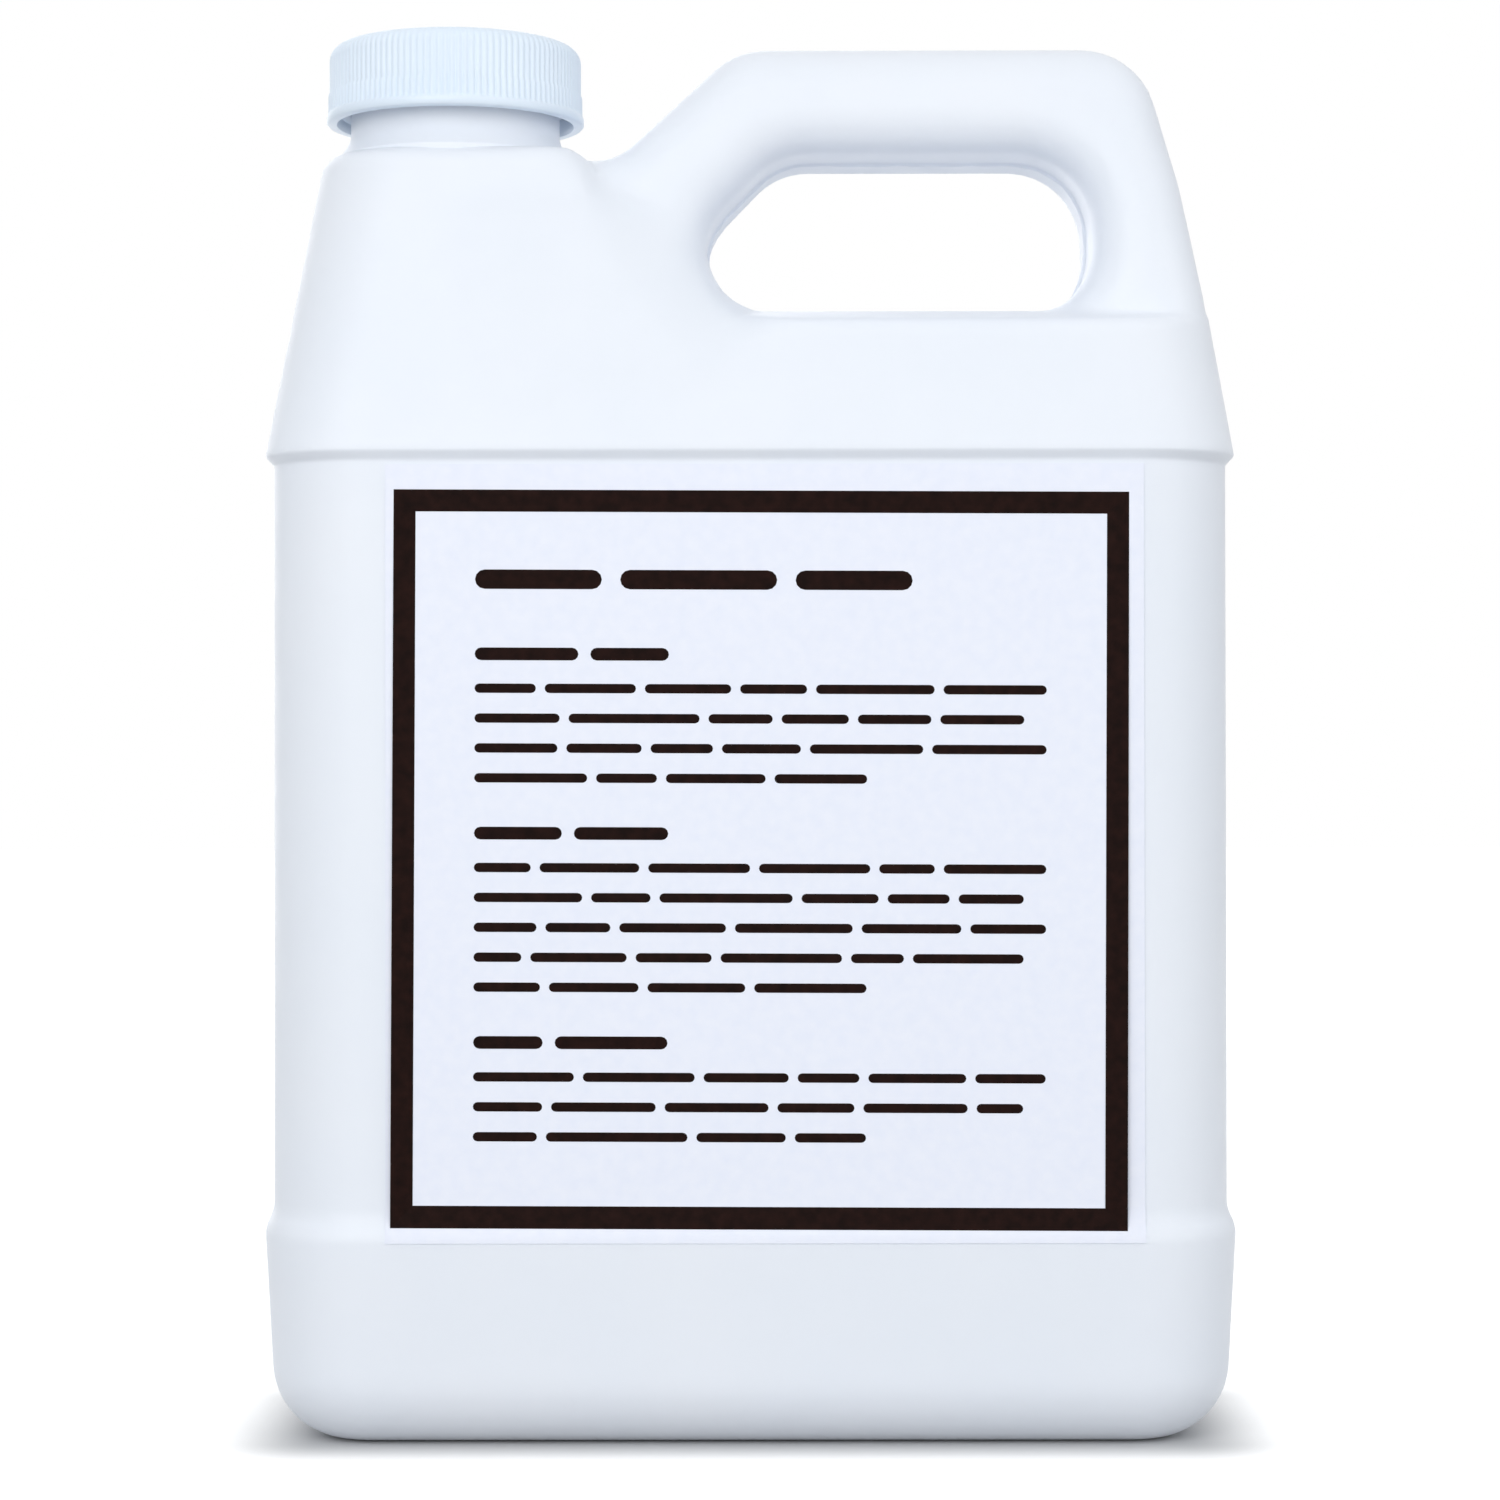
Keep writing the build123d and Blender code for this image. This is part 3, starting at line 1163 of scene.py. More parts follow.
    def roof(self, x: Array, y: Array) -> Array:
        """Height of the shoulder's top: the neck's deck, its flank and the crowned shelf.

        Args:
            x: Places across.
            y: Places from front to back.

        Returns:
            The heights.
        """
        half_depth = self.half_depth - self.lean(self.shelf_z, self.front_lean)
        slope = (self.deck_z - self.shelf_z) / self.flank_run
        flank = self.deck_z - slope * ramp(x - self.deck_end_x, self.deck_bend)
        shelf = self.shelf_z + self.shelf_crown * (1 - np.minimum(np.abs(y) / half_depth, 1) ** 2)
        return smooth_highest(flank, shelf, self.flank_valley)

    def vessel(self, x: Array, y: Array, z: Array) -> Array:
        """Distance to the body and the shoulder, without the handle.

        Args:
            x: Places across.
            y: Places from front to back.
            z: Heights.

        Returns:
            The distances, negative inside.
        """
        side = self.side(x, y, z)
        roof = self.roof(x, y)
        steepness = (self.roof(x + 0.1, y) - self.roof(x - 0.1, y)) / 0.2
        top = (z - roof) / np.sqrt(1 + steepness**2)
        onto_flank = step_around(x, self.deck_end_x, self.deck_to_flank)
        onto_shelf = step_around(x, self.deck_end_x + self.flank_run, self.flank_to_shelf)
        edge = self.deck_edge_radius + (self.flank_edge_radius - self.deck_edge_radius) * onto_flank
        edge = edge + (self.shelf_edge_radius - self.flank_edge_radius) * onto_shelf
        shell = round_meet(side, top, edge)
        flat_from = self.push_up_inset + self.push_up_run
        rise = self.push_up * smooth_step(-side, self.push_up_inset, flat_from)
        return round_meet(shell, rise - z, self.base_radius)

    def handle(self, x: Array, y: Array, z: Array) -> Array:
        """Distance to the handle's loop.

        Args:
            x: Places across.
            y: Places from front to back.
            z: Heights.

        Returns:
            The distances, negative inside.
        """
        widen = (self.handle_foot_half - self.handle_top_half) / (self.handle_top_z - self.shelf_z)
        half = self.handle_top_half + widen * (self.handle_top_z - z)
        faces = (np.abs(y) - half) / math.hypot(1, widen)
        loop = np.maximum(self.outer.distance(x, z), -self.hole.distance(x, z))
        return round_meet(loop, faces, self.handle_rounding)

    def skin(self, x: Array, y: Array, z: Array) -> Array:
        """Distance to the whole moulding, without its parting line.

        Args:
            x: Places across.
            y: Places from front to back.
            z: Heights.

        Returns:
            The distances, negative inside.
        """
        vessel = self.vessel(x, y, z)
        total = vessel.copy()
        near = np.broadcast_to(z > self.shelf_z - self.handle_reach_down, vessel.shape)
        px, py, pz = (np.broadcast_to(part, vessel.shape)[near] for part in (x, y, z))
        fillet = self.saddle_fillet
        leg, back = smooth_step(px, *self.saddle_to_leg), smooth_step(px, *self.leg_to_back)
        fillet = fillet + (self.leg_fillet - self.saddle_fillet) * leg
        fillet = fillet + (self.back_fillet - self.leg_fillet) * back
        under_saddle = 1 - self.saddle_thinning * step_around(pz, self.deck_z, self.below_deck)
        past_start, past_end = smooth_step(px, *self.hole_start), smooth_step(px, *self.hole_end)
        under_hole = 1 - self.hole_thinning * past_start * (1 - past_end)
        fillet = fillet * under_saddle * under_hole
        total[near] = round_join(vessel[near], self.handle(px, py, pz), fillet)
        return total

    def surface(self, x: Array, y: Array, z: Array) -> Array:
        """Distance to the outside, with the parting line and the flash in the finger hole.

        Args:
            x: Places across.
            y: Places from front to back.
            z: Heights.

        Returns:
            The distances, negative inside.
        """
        total = self.skin(x, y, z)
        line = np.exp(-((y / self.parting_width) ** 2))
        start = np.broadcast_to(smooth_step(z, *self.parting_start), total.shape)
        height = self.parting_height * start
        near = np.broadcast_to((z > self.shelf_z - 4) & (np.abs(y) < 1.2), total.shape)
        px, pz = (np.broadcast_to(part, total.shape)[near] for part in (x, z))
        flash = np.exp(-((self.hole.distance(px, pz) / self.flash_width) ** 2))
        uneven = 0.75 + 0.25 * np.sin(0.9 * px + 0.4 * pz) * np.sin(0.37 * px - 1.3 * pz)
        low = 1 - step_around(pz, self.shelf_z, self.flash_foot)
        lump = self.lump_height * np.exp(-(((px - self.lump_x) / self.lump_width) ** 2)) * low
        even_foot = 1 - self.foot_thinning * low
        height[near] += self.flash_height * flash * (uneven * even_foot + lump)
        return total - height * line

    def cavity(self, x: Array, y: Array, z: Array) -> Array:
        """Distance to the inside."""
        return self.skin(x, y, z) + self.wall


@dataclass(frozen=True)
class NeckFinish:
    """The sizes that the neck, the cap and the liner share, those of a 33-400 finish."""

    radius: float = 14.65
    bore_radius: float = 12.9
    cap_root_radius: float = 16.3
    pitch: float = 25.4 / 6
    neck_thread_height: float = 1.25
    neck_thread_widths: tuple[float, float] = (2.2, 0.8)
    cap_thread_height: float = 1.05
    cap_thread_widths: tuple[float, float] = (1.7, 0.6)
    thread_top_gap: float = 2.1
    cap_thread_lead: float = 0.32
    cap_thread_drop: float = 1.18

    def neck_thread(self, lip_z: float) -> ThreadRidge:
        """The thread around the neck, one turn that ends just under the lip.

        Args:
            lip_z: Height of the neck's lip.

        Returns:
            The thread.
        """
        start_z = lip_z - self.thread_top_gap - self.pitch
        root, crest = self.neck_thread_widths
        return ThreadRidge(
            self.radius, self.neck_thread_height, root, crest, self.pitch, start_z, 0.0
        )

    def cap_thread(self, lip_z: float) -> ThreadRidge:
        """The thread inside the cap, which lies just under the neck's.

        Args:
            lip_z: Height of the neck's lip.

        Returns:
            The thread.
        """
        start_z = lip_z - self.thread_top_gap - self.cap_thread_drop * self.pitch
        root, crest = self.cap_thread_widths
        return ThreadRidge(
            self.cap_root_radius,
            -self.cap_thread_height,
            root,
            crest,
            self.pitch,
            start_z,
            self.cap_thread_lead,
        )


@dataclass
class Jug:
    """The blow-moulded jug with its handle and its threaded neck."""

    shop: FinishShop
    form: JugForm
    neck: NeckFinish
    lip_z: float
    flare: float = 1.75
    flare_height: float = 3.2
    flare_power: float = 1.7
    flare_steps: int = 8
    neck_step: float = 0.3
    lip_rounding: float = 0.5
    lip_bevel: float = 0.35
    bore_depth: float = 4.0
    bore_overshoot: float = 2.0
    skin_step: float = 1.35
    cavity_step: float = 2.3
    turned_segments: int = 192

    def build(self) -> bpy.types.Object:
        """Builds the jug, rides it on its body and dresses it.

        Returns:
            The jug.
        """
        jug = self._moulding()
        combine(jug, self._neck(), Combine.JOIN)
        thread = self.neck.neck_thread(self.lip_z)
        combine(jug, thread.solid("neck_thread", self.form.neck_x), Combine.JOIN)
        combine(jug, self._cavity(), Combine.CUT)
        combine(jug, self._bore(), Combine.CUT)
        shade(jug, 40)
        jug.data.materials.clear()
        jug.data.materials.append(self.shop.plastic(JUG_PLASTIC))
        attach(jug, "jug")
        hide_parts("jug")
        return jug

    def _moulding(self) -> bpy.types.Object:
        """The jug's outside, without its neck.

        Returns:
            The moulding as a closed solid.
        """
        form, step = self.form, self.skin_step
        seam = [FineZone(-0.9, -0.45, 0.3), FineZone(-0.45, 0.5, 0.15), FineZone(0.5, 1.0, 0.3)]
        levels = [
            FineZone(-1.0, 8.0, 0.8),
            FineZone(form.lower_ridge_z - 2.3, form.lower_ridge_z + 5.2, 0.5),
            FineZone(form.upper_ridge_z - 2.7, form.upper_ridge_z + 0.1, 0.2),
            FineZone(form.shelf_z - 2.4, form.shelf_z + 4.1, 0.5),
            FineZone(form.deck_z - 3.2, form.deck_z + 0.8, 0.5),
        ]
        lines = (
            graded_lines(-form.half_width - step, form.half_width + step, step, []),
            graded_lines(-form.half_depth - step, form.half_depth + step, step, seam),
            graded_lines(-1.0, form.handle_top_z + step, step, levels),
        )
        points, quads = SurfaceNet(form.surface, lines).mesh()
        return new_piece("jug_shell", points, quads)

    def _cavity(self) -> bpy.types.Object:
        """The hollow inside.

        Returns:
            The hollow as a closed solid, to be cut out.
        """
        form, step = self.form, self.cavity_step
        lines = (
            graded_lines(-form.half_width, form.half_width, step, []),
            graded_lines(-form.half_depth, form.half_depth, step, []),
            graded_lines(0.0, form.handle_top_z, step, []),
        )
        points, quads = SurfaceNet(form.cavity, lines, settle_steps=2).mesh()
        return new_piece("jug_hollow", points, quads)

    def _neck(self) -> bpy.types.Object:
        """The neck's outer wall, with its flared foot and its rounded lip.

        Returns:
            The neck as a closed solid.
        """
        foot = self.form.deck_z + self.neck_step
        below = self.form.deck_z - self.form.deck_edge_radius
        rings = [Ring(0, below), Ring(self.neck.radius + self.flare, below)]
        for step in range(self.flare_steps + 1):
            share = step / self.flare_steps
            radius = self.neck.radius + self.flare * (1 - share) ** self.flare_power
            rings.append(Ring(radius, foot + self.flare_height * share))
        rings += self._rounded_lip()
        rings.append(Ring(0, self.lip_z))
        return Lathe(self.form.neck_x, self.turned_segments).solid("neck", rings)

    def _rounded_lip(self) -> list[Ring]:
        """The rings that round the lip's outer edge.

        Returns:
            The rings, from the outside to the top.
        """
        turns = [step * math.pi / 8 for step in range(5)]
        r = self.lip_rounding
        return [
            Ring(self.neck.radius - r + r * math.cos(turn), self.lip_z - r + r * math.sin(turn))
            for turn in turns
        ]

    def _bore(self) -> bpy.types.Object:
        """The bore through the neck, with a small bevel at the lip.

        Returns:
            The bore as a closed solid, to be cut out.
        """
        low, high = self.form.deck_z - self.bore_depth, self.lip_z + self.bore_overshoot
        radius = self.neck.bore_radius
        rings = [
            Ring(0, low),
            Ring(radius, low),
            Ring(radius, self.lip_z - self.lip_bevel),
            Ring(radius + self.lip_bevel + self.bore_overshoot, high),
            Ring(0, high),
        ]
        return Lathe(self.form.neck_x, self.turned_segments).solid("bore", rings)


# ---------------------------------------------------------------- cap and liner


@dataclass
class ScrewCap:
    """The ribbed screw cap."""

    shop: FinishShop
    neck: NeckFinish
    axis_x: float
    top_z: float
    rim_z: float
    rim_radius: float
    ceiling_z: float
    lip_z: float
    rib_count: int = 120
    rib_depth: float = 0.3
    points_per_rib: int = 8
    groove_power: float = 1.4
    band_height: float = 1.3
    band_step: float = 0.2
    top_draft: float = 0.4
    top_rounding: float = 2.2
    kink_above_rim: float = 4.1
    dish_depth: float = 0.2
    dish_inset: float = 1.4

    def build(self) -> bpy.types.Object:
        """Builds the cap, rides it on its body and dresses it.

        Returns:
            The cap.
        """
        lathe = Lathe(self.axis_x, self.rib_count * self.points_per_rib, self._ribs())
        cap = lathe.solid("ribbed_cap", self._rings())
        thread = self.neck.cap_thread(self.lip_z)
        combine(cap, thread.solid("cap_thread", self.axis_x), Combine.JOIN)
        shade(cap, 50)
        cap.data.materials.clear()
        cap.data.materials.append(self.shop.plastic(CAP_PLASTIC))
        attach(cap, "cap")
        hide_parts("screw_cap")
        return cap

    def _ribs(self) -> Array:
        """How far the ribbed wall lies in, all around: narrow grooves between rounded ribs.

        Returns:
            One depth for each of the wall's points.
        """
        turn = np.arange(self.points_per_rib) / self.points_per_rib
        groove = 0.5 - 0.5 * np.cos(2 * math.pi * turn)
        return np.tile(self.rib_depth * groove**self.groove_power, self.rib_count)

    def _rings(self) -> list[Ring]:
        """The cap's rings, in order around its section.

        Returns:
            The rings, from the middle of the ceiling over the rim to the middle of the top.
        """
        inner = self.neck.cap_root_radius
        skirt = self.rim_radius - self.band_step
        top_radius = self.rim_radius - self.top_draft
        band = self.rim_z + self.band_height
        kink = self.rim_z + self.kink_above_rim
        shoulder = self.top_z - self.top_rounding
        dished = self.top_z - self.dish_depth
        rings = [
            Ring(0, self.ceiling_z),
            Ring(6.0, self.ceiling_z),
            Ring(inner - 0.4, self.ceiling_z),
            Ring(inner, self.ceiling_z - 0.4),
            Ring(inner, self.rim_z + 0.6),
            Ring(inner + 0.35, self.rim_z),
            Ring(self.rim_radius - 0.25, self.rim_z),
            Ring(self.rim_radius, self.rim_z + 0.25),
            Ring(self.rim_radius, band - 0.25),
            Ring(skirt + 0.08, band, 0.15),
            Ring(skirt, band + 0.3, 1.0),
            Ring(skirt - 0.02, kink - 0.1, 1.0),
            Ring(skirt - 0.2, kink + 0.15, 0.65),
        ]
        for step in range(9):
            turn = step * math.pi / 16
            radius = top_radius - self.top_rounding * (1 - math.cos(turn))
            height = shoulder + self.top_rounding * math.sin(turn)
            rings.append(Ring(radius, height, max(0.0, 0.65 - 0.08 * step)))
        dish = top_radius - self.top_rounding - self.dish_inset
        rings += [
            Ring(dish, self.top_z),
            Ring(dish - 0.5, dished + 0.05),
            Ring(dish / 2, dished),
            Ring(1.3, dished),
            Ring(1.1, self.top_z - 0.08),
            Ring(0, self.top_z - 0.05),
        ]
        return rings


@dataclass
class CapLiner:
    """The foam sealing disc inside the cap, with the ring that the lip has pressed into it."""

    shop: FinishShop
    neck: NeckFinish
    axis_x: float
    low_z: float
    high_z: float
    radius: float
    edge: float = 0.15
    swell: float = 0.06

    def build(self) -> bpy.types.Object:
        """Builds the liner, rides it on its body and dresses it.

        Returns:
            The liner.
        """
        low, high, edge = self.low_z, self.high_z, self.edge
        swollen = low - self.swell
        bore, lip = self.neck.bore_radius, self.neck.radius
        rings = [
            Ring(0, swollen),
            Ring(bore / 2, swollen),
            Ring(bore - 0.5, swollen),
            Ring(bore - 0.1, low),
            Ring(lip + 0.1, low),
            Ring(lip + 0.4, swollen),
            Ring(self.radius - edge, swollen),
            Ring(self.radius, low + edge),
            Ring(self.radius, high - edge),
            Ring(self.radius - edge, high),
            Ring(self.radius / 2, high),
            Ring(0, high),
        ]
        liner = Lathe(self.axis_x, 160).solid("foam_liner", rings)
        shade(liner, 50)
        liner.data.materials.append(self.shop.plastic(LINER_FOAM))
        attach(liner, "liner")
        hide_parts("cap_liner")
        return liner


# ---------------------------------------------------------------- the label


@dataclass(frozen=True)
class PrintedLine:
    """One line of placeholder words on the label."""

    z: float
    height: float
    words: int
    left: float
    right: float


@dataclass
class FrontLabel:
    """The paper label on the front panel, with its printed frame and placeholder lines."""

    shop: FinishShop
    form: JugForm
    low: Vector
    high: Vector
    thickness: float = 0.15
    frame_side: tuple[float, float] = (0.9, 2.2)
    frame_top: float = 3.6
    frame_foot: float = 1.8
    frame_width: float = 2.95
    frame_turn_degrees: float = 0.27
    ink_height: float = 0.02
    glue: float = 0.01
    print_margin: float = 8.0
    heading_drop: float = 12.0
    body_drop: float = 22.0
    title_pitch: float = 4.6
    line_pitch: float = 4.0
    paragraph_gap: float = 3.4
    columns: int = 30

    def build(self) -> bpy.types.Object:
        """Builds the label, rides it on the jug's body and dresses it.

        Returns:
            The label.
        """
        label = self._sheet()
        label.data.materials.append(self.shop.paper(LABEL_PAPER))
        label.data.materials.append(self.shop.paper(FRAME_INK))
        self._print(label)
        shade(label, 40)
        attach(label, "jug")
        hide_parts("front_label")
        return label

    def face_y(self, z: Array) -> Array:
        """The jug's front at height z, where the paper bridges the step over the lower ridge."""
        return self.form.inset(z, self.form.front_lean, step_softness=2.2) - self.form.half_depth

    def _sheet(self) -> bpy.types.Object:
        """The paper as a thin closed sheet.

        Returns:
            The sheet.
        """
        x = np.linspace(self.low.x, self.high.x, self.columns)
        z = graded_lines(self.low.z, self.high.z - 0.4, 3.0, [FineZone(self.low.z, 36, 0.4)])
        z = np.append(z[z < self.high.z - 0.2], self.high.z)
        gx, gz = np.meshgrid(x, z, indexing="ij")
        back = np.stack([gx, self.face_y(gz) - self.glue, gz], axis=-1).reshape(-1, 3)
        front = np.stack([gx, self.face_y(gz) - self.thickness, gz], axis=-1).reshape(-1, 3)
        nx, nz = gx.shape
        number = np.arange(nx * nz).reshape(nx, nz)
        quads = np.stack(
            [number[:-1, :-1], number[1:, :-1], number[1:, 1:], number[:-1, 1:]], axis=-1
        ).reshape(-1, 4)
        rim = np.concatenate([number[:, 0], number[-1, 1:], number[-2::-1, -1], number[0, -2:0:-1]])
        ahead = np.roll(rim, -1)
        offset = nx * nz
        walls = np.stack([rim, ahead, ahead + offset, rim + offset], axis=1)
        faces = np.concatenate([quads[:, ::-1], quads + offset, walls])
        return new_piece("paper_label", np.concatenate([back, front]), faces)

    def _print(self, label: bpy.types.Object) -> None:
        """Lays the frame and the placeholder words on the paper.

        Args:
            label: The label's sheet, which takes the print as part of its mesh.
        """
        patches = [*self._frame_bars()]
        for line in self._lines():
            patches += self._words(line)
        points: list[tuple[float, float, float]] = []
        faces: list[tuple[int, ...]] = []
        for patch in patches:
            self._raise(patch, points, faces)
        ink = new_piece("ink", np.array(points), faces)
        for polygon in ink.data.polygons:
            polygon.material_index = 1
        ink.data.materials.append(label.data.materials[0])
        ink.data.materials.append(label.data.materials[1])
        with bpy.context.temp_override(
            active_object=label, object=label, selected_editable_objects=[label, ink]
        ):
            bpy.ops.object.join()

    def _turned(self, x: float, z: float) -> tuple[float, float]:
        """A point of the print, turned with the whole print against the sheet.

        Args:
            x: Its place across, before the turn.
            z: Its height, before the turn.

        Returns:
            Its place and height after it.
        """
        turn = math.radians(self.frame_turn_degrees)
        middle_x = (self.low.x + self.high.x) / 2
        middle_z = (self.low.z + self.high.z) / 2
        dx, dz = x - middle_x, z - middle_z
        return (
            middle_x + dx * math.cos(turn) + dz * math.sin(turn),
            middle_z - dx * math.sin(turn) + dz * math.cos(turn),
        )

    def _frame_limits(self) -> tuple[float, float, float, float]:
        """Left, right, foot and top of the printed frame.

        Returns:
            The four limits.
        """
        return (
            self.low.x + self.frame_side[0],
            self.high.x - self.frame_side[1],
            self.low.z + self.frame_foot,
            self.high.z - self.frame_top,
        )

    def _frame_bars(self) -> list[list[tuple[float, float]]]:
        """The frame's four mitred bars.

        Returns:
            Each bar's outline.
        """
        left, right, foot, top = self._frame_limits()
        w = self.frame_width
        outer = [(left, foot), (right, foot), (right, top), (left, top)]
        left, right, foot, top = left + w, right - w, foot + w, top - w
        inner = [(left, foot), (right, foot), (right, top), (left, top)]
        return [[outer[i - 1], outer[i], inner[i], inner[i - 1]] for i in (1, 2, 3, 0)]

    def _lines(self) -> list[PrintedLine]:
        """The placeholder text: a heading, then three short paragraphs set flush left.

        Returns:
            The lines.
        """
        left, right, foot, top = self._frame_limits()
        inner_left = left + self.frame_width + self.print_margin
        inner_right = right - self.frame_width - self.print_margin
        lines = [PrintedLine(top - self.heading_drop, 2.6, 3, inner_left, inner_right - 18)]
        z = top - self.body_drop
        for count in (4, 5, 3):
            lines.append(PrintedLine(z, 1.7, 2, inner_left, inner_left + 26))
            z -= self.title_pitch
            for row in range(count):
                short = 24 if row == count - 1 else 3 * (row % 2)
                words = 6 if short < 24 else 4
                lines.append(PrintedLine(z, 1.25, words, inner_left, inner_right - short))
                z -= self.line_pitch
            z -= self.paragraph_gap
        return lines

    def _words(self, line: PrintedLine) -> list[list[tuple[float, float]]]:
        """One line's words as pill-ended bars.

        Args:
            line: The line.

        Returns:
            Each word's outline.
        """
        draw = random.Random(round(line.z * 10))
        shares = [0.6 + draw.random() for _ in range(line.words)]
        gap = line.height * 0.95
        room = line.right - line.left - gap * (line.words - 1)
        x = line.left
        words = []
        for share in shares:
            width = room * share / sum(shares)
            words.append(self._pill(x, line.z, width, line.height))
            x += width + gap
        return words

    def _pill(self, x: float, z: float, width: float, height: float) -> list[tuple[float, float]]:
        """A bar with rounded ends.

        Args:
            x: Its left end.
            z: Its middle's height.
            width: Its length.
            height: Its height.

        Returns:
            Its outline, anticlockwise from the front.
        """
        r = height / 2
        turns = [math.pi * (step / 6 - 0.5) for step in range(7)]
        right = [(x + width - r + r * math.cos(t), z + r * math.sin(t)) for t in turns]
        left = [(x + r - r * math.cos(t), z - r * math.sin(t)) for t in turns]
        return right + left

    def _raise(
        self,
        patch: list[tuple[float, float]],
        points: list[tuple[float, float, float]],
        faces: list[tuple[int, ...]],
    ) -> None:
        """Adds a patch of ink as a thin closed island.

        Args:
            patch: Its outline, anticlockwise from the front.
            points: The points so far, which grow.
            faces: The faces so far, which grow.
        """
        start, count = len(points), len(patch)
        turned = [self._turned(x, z) for x, z in patch]
        for lift in (0.0, self.ink_height):
            for x, z in turned:
                y = float(self.face_y(np.array([z]))[0]) - self.thickness - lift
                points.append((x, y + (0.02 if lift == 0.0 else 0.0), z))
        faces.append(tuple(start + i for i in reversed(range(count))))
        faces.append(tuple(start + count + i for i in range(count)))
        for i in range(count):
            j = (i + 1) % count
            faces.append((start + i, start + j, start + count + j, start + count + i))


# ---------------------------------------------------------------- the studio


@dataclass(frozen=True)
class Lamp:
    """A large square soft lamp, with its place and side in metres and its power in watts."""

    name: str
    place: tuple[float, float, float]
    side: float
    power: float


@dataclass
class Studio:
    """The pale floor, the soft lamps and the camera."""

    centre: Vector
    footprint: Vector
    floor_size: float = 9.0
    floor_tone: float = 0.62
    floor_lift: float = 0.75
    # The floor's glow is withheld in this band around the footprint, which paints shade around the
    # base on top of the real shadow there.
    painted_shade_inset: float = 0.008
    painted_shade_reach: float = 0.02
    world_level: float = 0.62
    world_tint: tuple[float, float, float] = (0.94, 0.97, 1.0)
    lamps: tuple[Lamp, ...] = (
        Lamp("key", (-0.3, -1.05, 0.52), 0.9, 5.6),
        Lamp("fill", (0.8, -0.75, 0.5), 0.8, 2.0),
        Lamp("back", (-0.4, 1.1, 0.45), 0.9, 2.8),
    )
    camera_place: tuple[float, float, float] = (1.1, -524.0, 89.5)
    camera_pitch_degrees: float = 0.5
    camera_yaw_degrees: float = 0.125
    camera_roll_degrees: float = 0.07
    lens_mm: float = 89.4

    def build(self) -> None:
        """Sets up the stage."""
        self._floor()
        self._world()
        for lamp in self.lamps:
            self._hang(lamp)
        self._camera()
        bpy.context.scene.view_settings.view_transform = "Standard"

    def _seen_directly(self, board: NodeBoard) -> bpy.types.NodeSocket:
        """1 for what the camera, a gloss or a glass sees, else 0.

        Args:
            board: The nodes of the floor or the world.

        Returns:
            The share's socket.
        """
        path = board.add("ShaderNodeLightPath")
        seen = board.math("MAXIMUM", path.outputs["Is Camera Ray"], path.outputs["Is Glossy Ray"])
        return board.math("MAXIMUM", seen, path.outputs["Is Transmission Ray"])

    def _clear_of_painted_shade(self, board: NodeBoard) -> bpy.types.NodeSocket:
        """0 on the floor right beside the object, rising to 1 away from it; it sets where the floor's
        glow is withheld, which paints shade around the base.

        Args:
            board: The floor's nodes.

        Returns:
            The share's socket.
        """
        split = board.add("ShaderNodeSeparateXYZ")
        board.join(board.add("ShaderNodeNewGeometry").outputs["Position"], split.inputs[0])
        away = []
        for axis in (0, 1):
            offset = board.math("SUBTRACT", split.outputs[axis], self.centre[axis])
            edge = self.footprint[axis] - self.painted_shade_inset
            past = board.math("SUBTRACT", board.math("ABSOLUTE", offset), edge)
            away.append(board.math("POWER", board.math("MAXIMUM", past, 0.0), 2.0))
        distance = board.math("SQRT", board.math("ADD", *away))
        rise = board.add("ShaderNodeMapRange", interpolation_type="SMOOTHSTEP")
        rise.inputs["From Max"].default_value = self.painted_shade_reach
        board.join(distance, rise.inputs["Value"])
        return rise.outputs["Result"]

    def _floor(self) -> None:
        """A wide pale floor that keeps the object's shadow, with painted shade around its base: the
        floor's glow is withheld there, so the dark near the base is partly the real shadow and partly
        painted.
        """
        half = self.floor_size / 2 / MM
        corners = np.array([(-half, -half, 0), (half, -half, 0), (half, half, 0), (-half, half, 0)])
        floor = new_piece("stage_floor", corners, [(0, 1, 2, 3)])
        material = bpy.data.materials.new("stage_floor")
        material.use_nodes = True
        board = NodeBoard(material.node_tree)
        board.tree.nodes.clear()
        matt = board.add("ShaderNodeBsdfDiffuse")
        matt.inputs["Color"].default_value = (*([self.floor_tone] * 3), 1)
        glow = board.add("ShaderNodeEmission")
        # Painted shade: the glow fades to nothing near the object's footprint, so the floor there is
        # darker whatever light reaches it.
        lift = board.math("MULTIPLY", self._clear_of_painted_shade(board), self.floor_lift)
        board.join(board.math("MULTIPLY", self._seen_directly(board), lift), glow.inputs["Strength"])
        both = board.add("ShaderNodeAddShader")
        board.join(matt.outputs[0], both.inputs[0])
        board.join(glow.outputs[0], both.inputs[1])
        board.join(both.outputs[0], board.add("ShaderNodeOutputMaterial").inputs["Surface"])
        floor.data.materials.append(material)

    def _world(self) -> None:
        """Even white light all around, and plain white where it is seen."""
        world = bpy.data.worlds.new("studio")
        bpy.context.scene.world = world
        world.use_nodes = True
        board = NodeBoard(world.node_tree)
        background = world.node_tree.nodes["Background"]
        seen = self._seen_directly(board)
        board.join(board.mix(seen, (*self.world_tint, 1), (1, 1, 1, 1)), background.inputs["Color"])
        level = board.math("MULTIPLY_ADD", seen, 1 - self.world_level, self.world_level)
        board.join(level, background.inputs["Strength"])

    def _hang(self, lamp: Lamp) -> None:
        """Hangs a lamp so that it points at the object.

        Args:
            lamp: The lamp.
        """
        light = bpy.data.lights.new(lamp.name, "AREA")
        light.size = lamp.side
        light.energy = lamp.power
        obj = bpy.data.objects.new(lamp.name, light)
        obj.location = lamp.place
        obj.rotation_euler = (self.centre - Vector(lamp.place)).to_track_quat("-Z", "Y").to_euler()
        bpy.context.scene.collection.objects.link(obj)

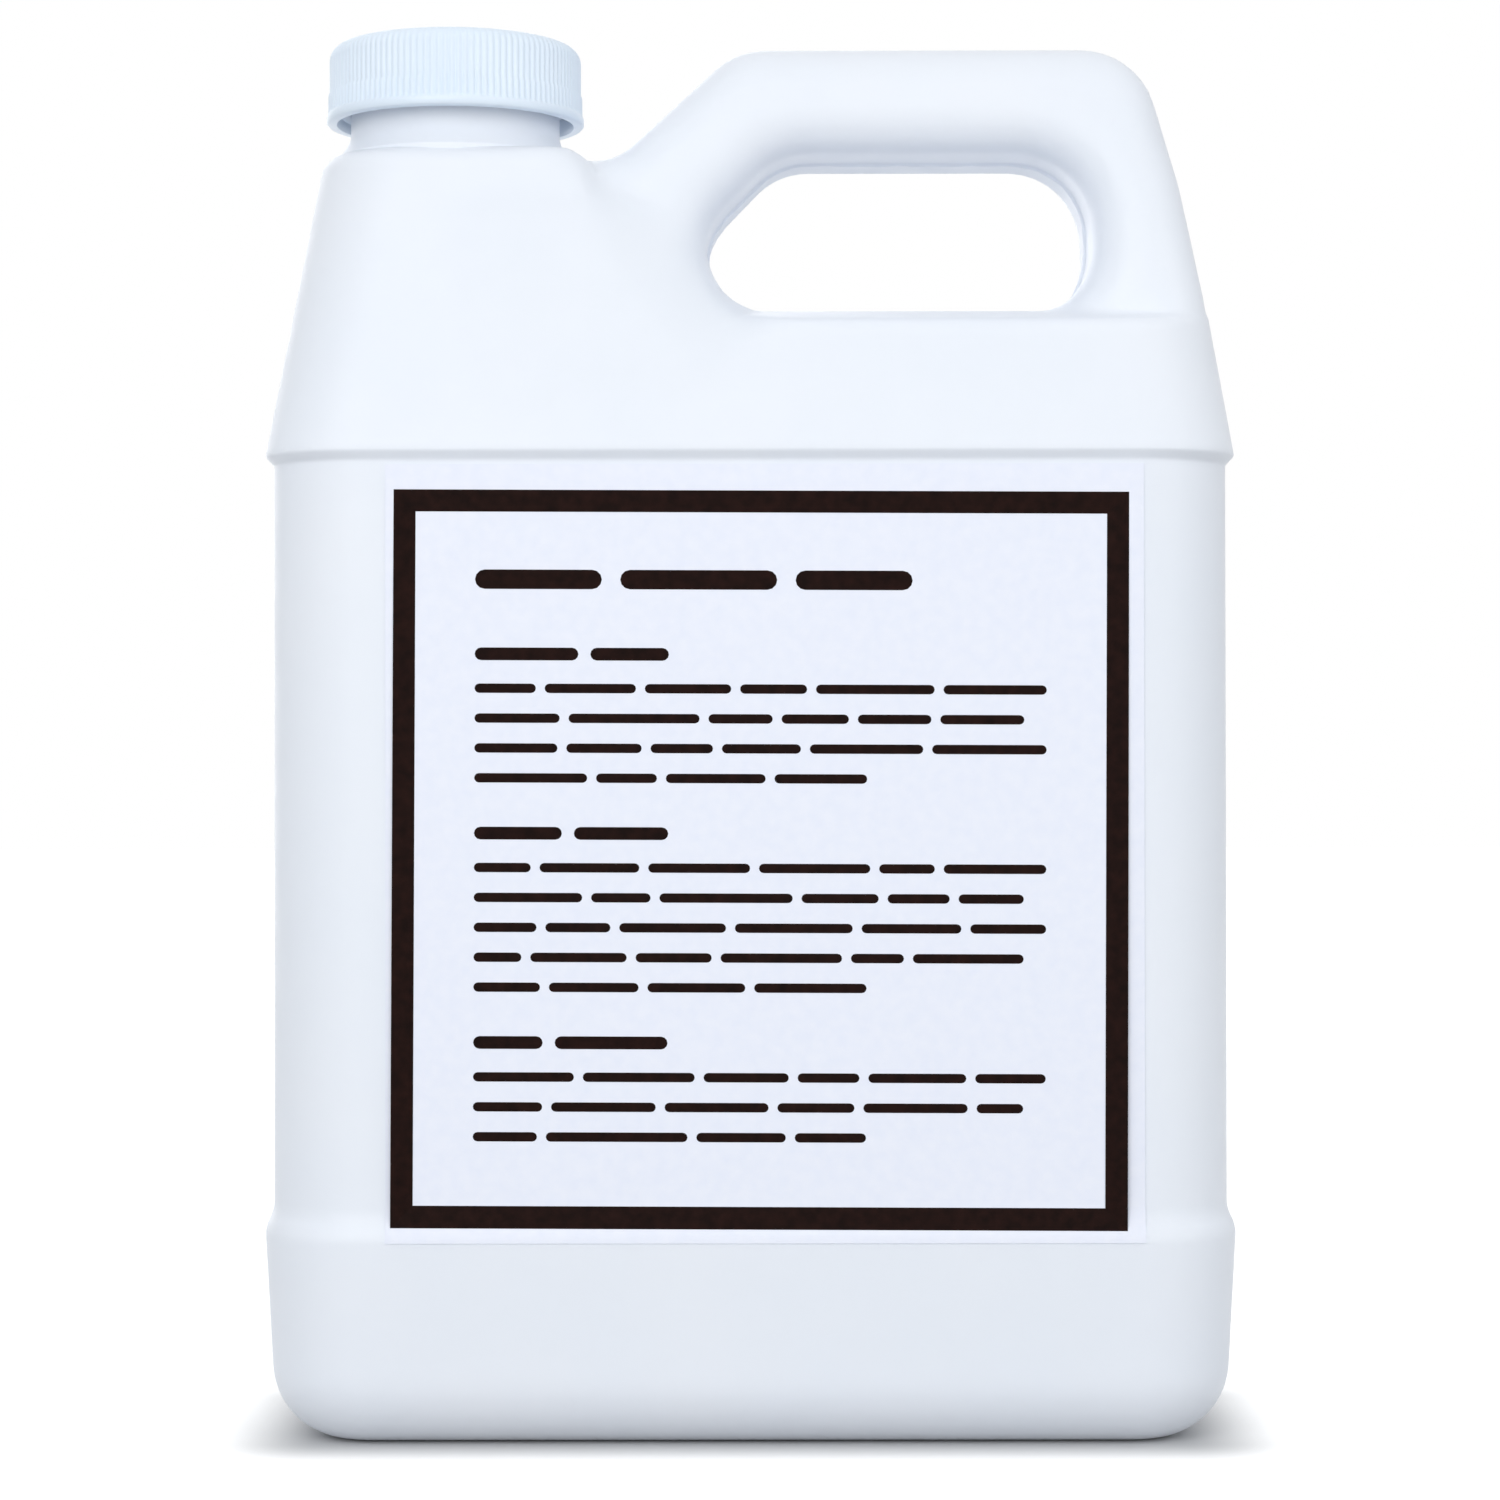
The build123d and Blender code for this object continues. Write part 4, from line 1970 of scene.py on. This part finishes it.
    def _camera(self) -> None:
        """The camera, level with the middle of the label."""
        data = bpy.data.cameras.new("camera")
        data.lens = self.lens_mm
        data.sensor_width = 36.0
        data.clip_start = 0.01
        camera = bpy.data.objects.new("camera", data)
        camera.location = Vector(self.camera_place) * MM
        turn = Euler(
            (
                math.radians(90 + self.camera_pitch_degrees),
                math.radians(self.camera_roll_degrees),
                math.radians(self.camera_yaw_degrees),
            )
        )
        camera.rotation_euler = turn
        bpy.context.scene.collection.objects.link(camera)
        bpy.context.scene.camera = camera


# ---------------------------------------------------------------- putting it together


def box_mm(node: str) -> tuple[Vector, Vector]:
    """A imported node's box in millimetres.

    Args:
        node: The node's name.

    Returns:
        Its lowest and highest corner.
    """
    low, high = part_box(node)
    return Vector(low) / MM, Vector(high) / MM


def report(piece: bpy.types.Object) -> None:
    """Logs a piece's name and its number of triangles."""
    triangles = sum(len(polygon.vertices) - 2 for polygon in piece.data.polygons)
    LOG.info("%s: %d triangles", piece.name, triangles)


def main() -> None:
    """Builds every piece around the frame, then the studio."""
    logging.basicConfig(level=logging.INFO, format="%(name)s %(message)s")
    jug_low, jug_high = box_mm("jug")
    cap_low, cap_high = box_mm("screw_cap")
    liner_low, liner_high = box_mm("cap_liner")
    label_low, label_high = box_mm("front_label")
    axis_x = (cap_low.x + cap_high.x) / 2
    lip_z, ceiling_z = liner_low.z, liner_high.z
    shop, neck = FinishShop(), NeckFinish()
    form = JugForm(*(jug_high - Vector(BOX_MARGIN)), axis_x)
    report(Jug(shop, form, neck, lip_z).build())
    rim_radius = (cap_high.x - cap_low.x) / 2
    cap = ScrewCap(shop, neck, axis_x, cap_high.z, cap_low.z, rim_radius, ceiling_z, lip_z)
    report(cap.build())
    liner_radius = (liner_high.x - liner_low.x) / 2
    report(CapLiner(shop, neck, axis_x, lip_z, ceiling_z, liner_radius).build())
    report(FrontLabel(shop, form, label_low, label_high).build())
    Studio((CAD_BOX[0] + CAD_BOX[1]) / 2, (CAD_BOX[1] - CAD_BOX[0]) / 2).build()


if __name__ == "__main__":
    main()
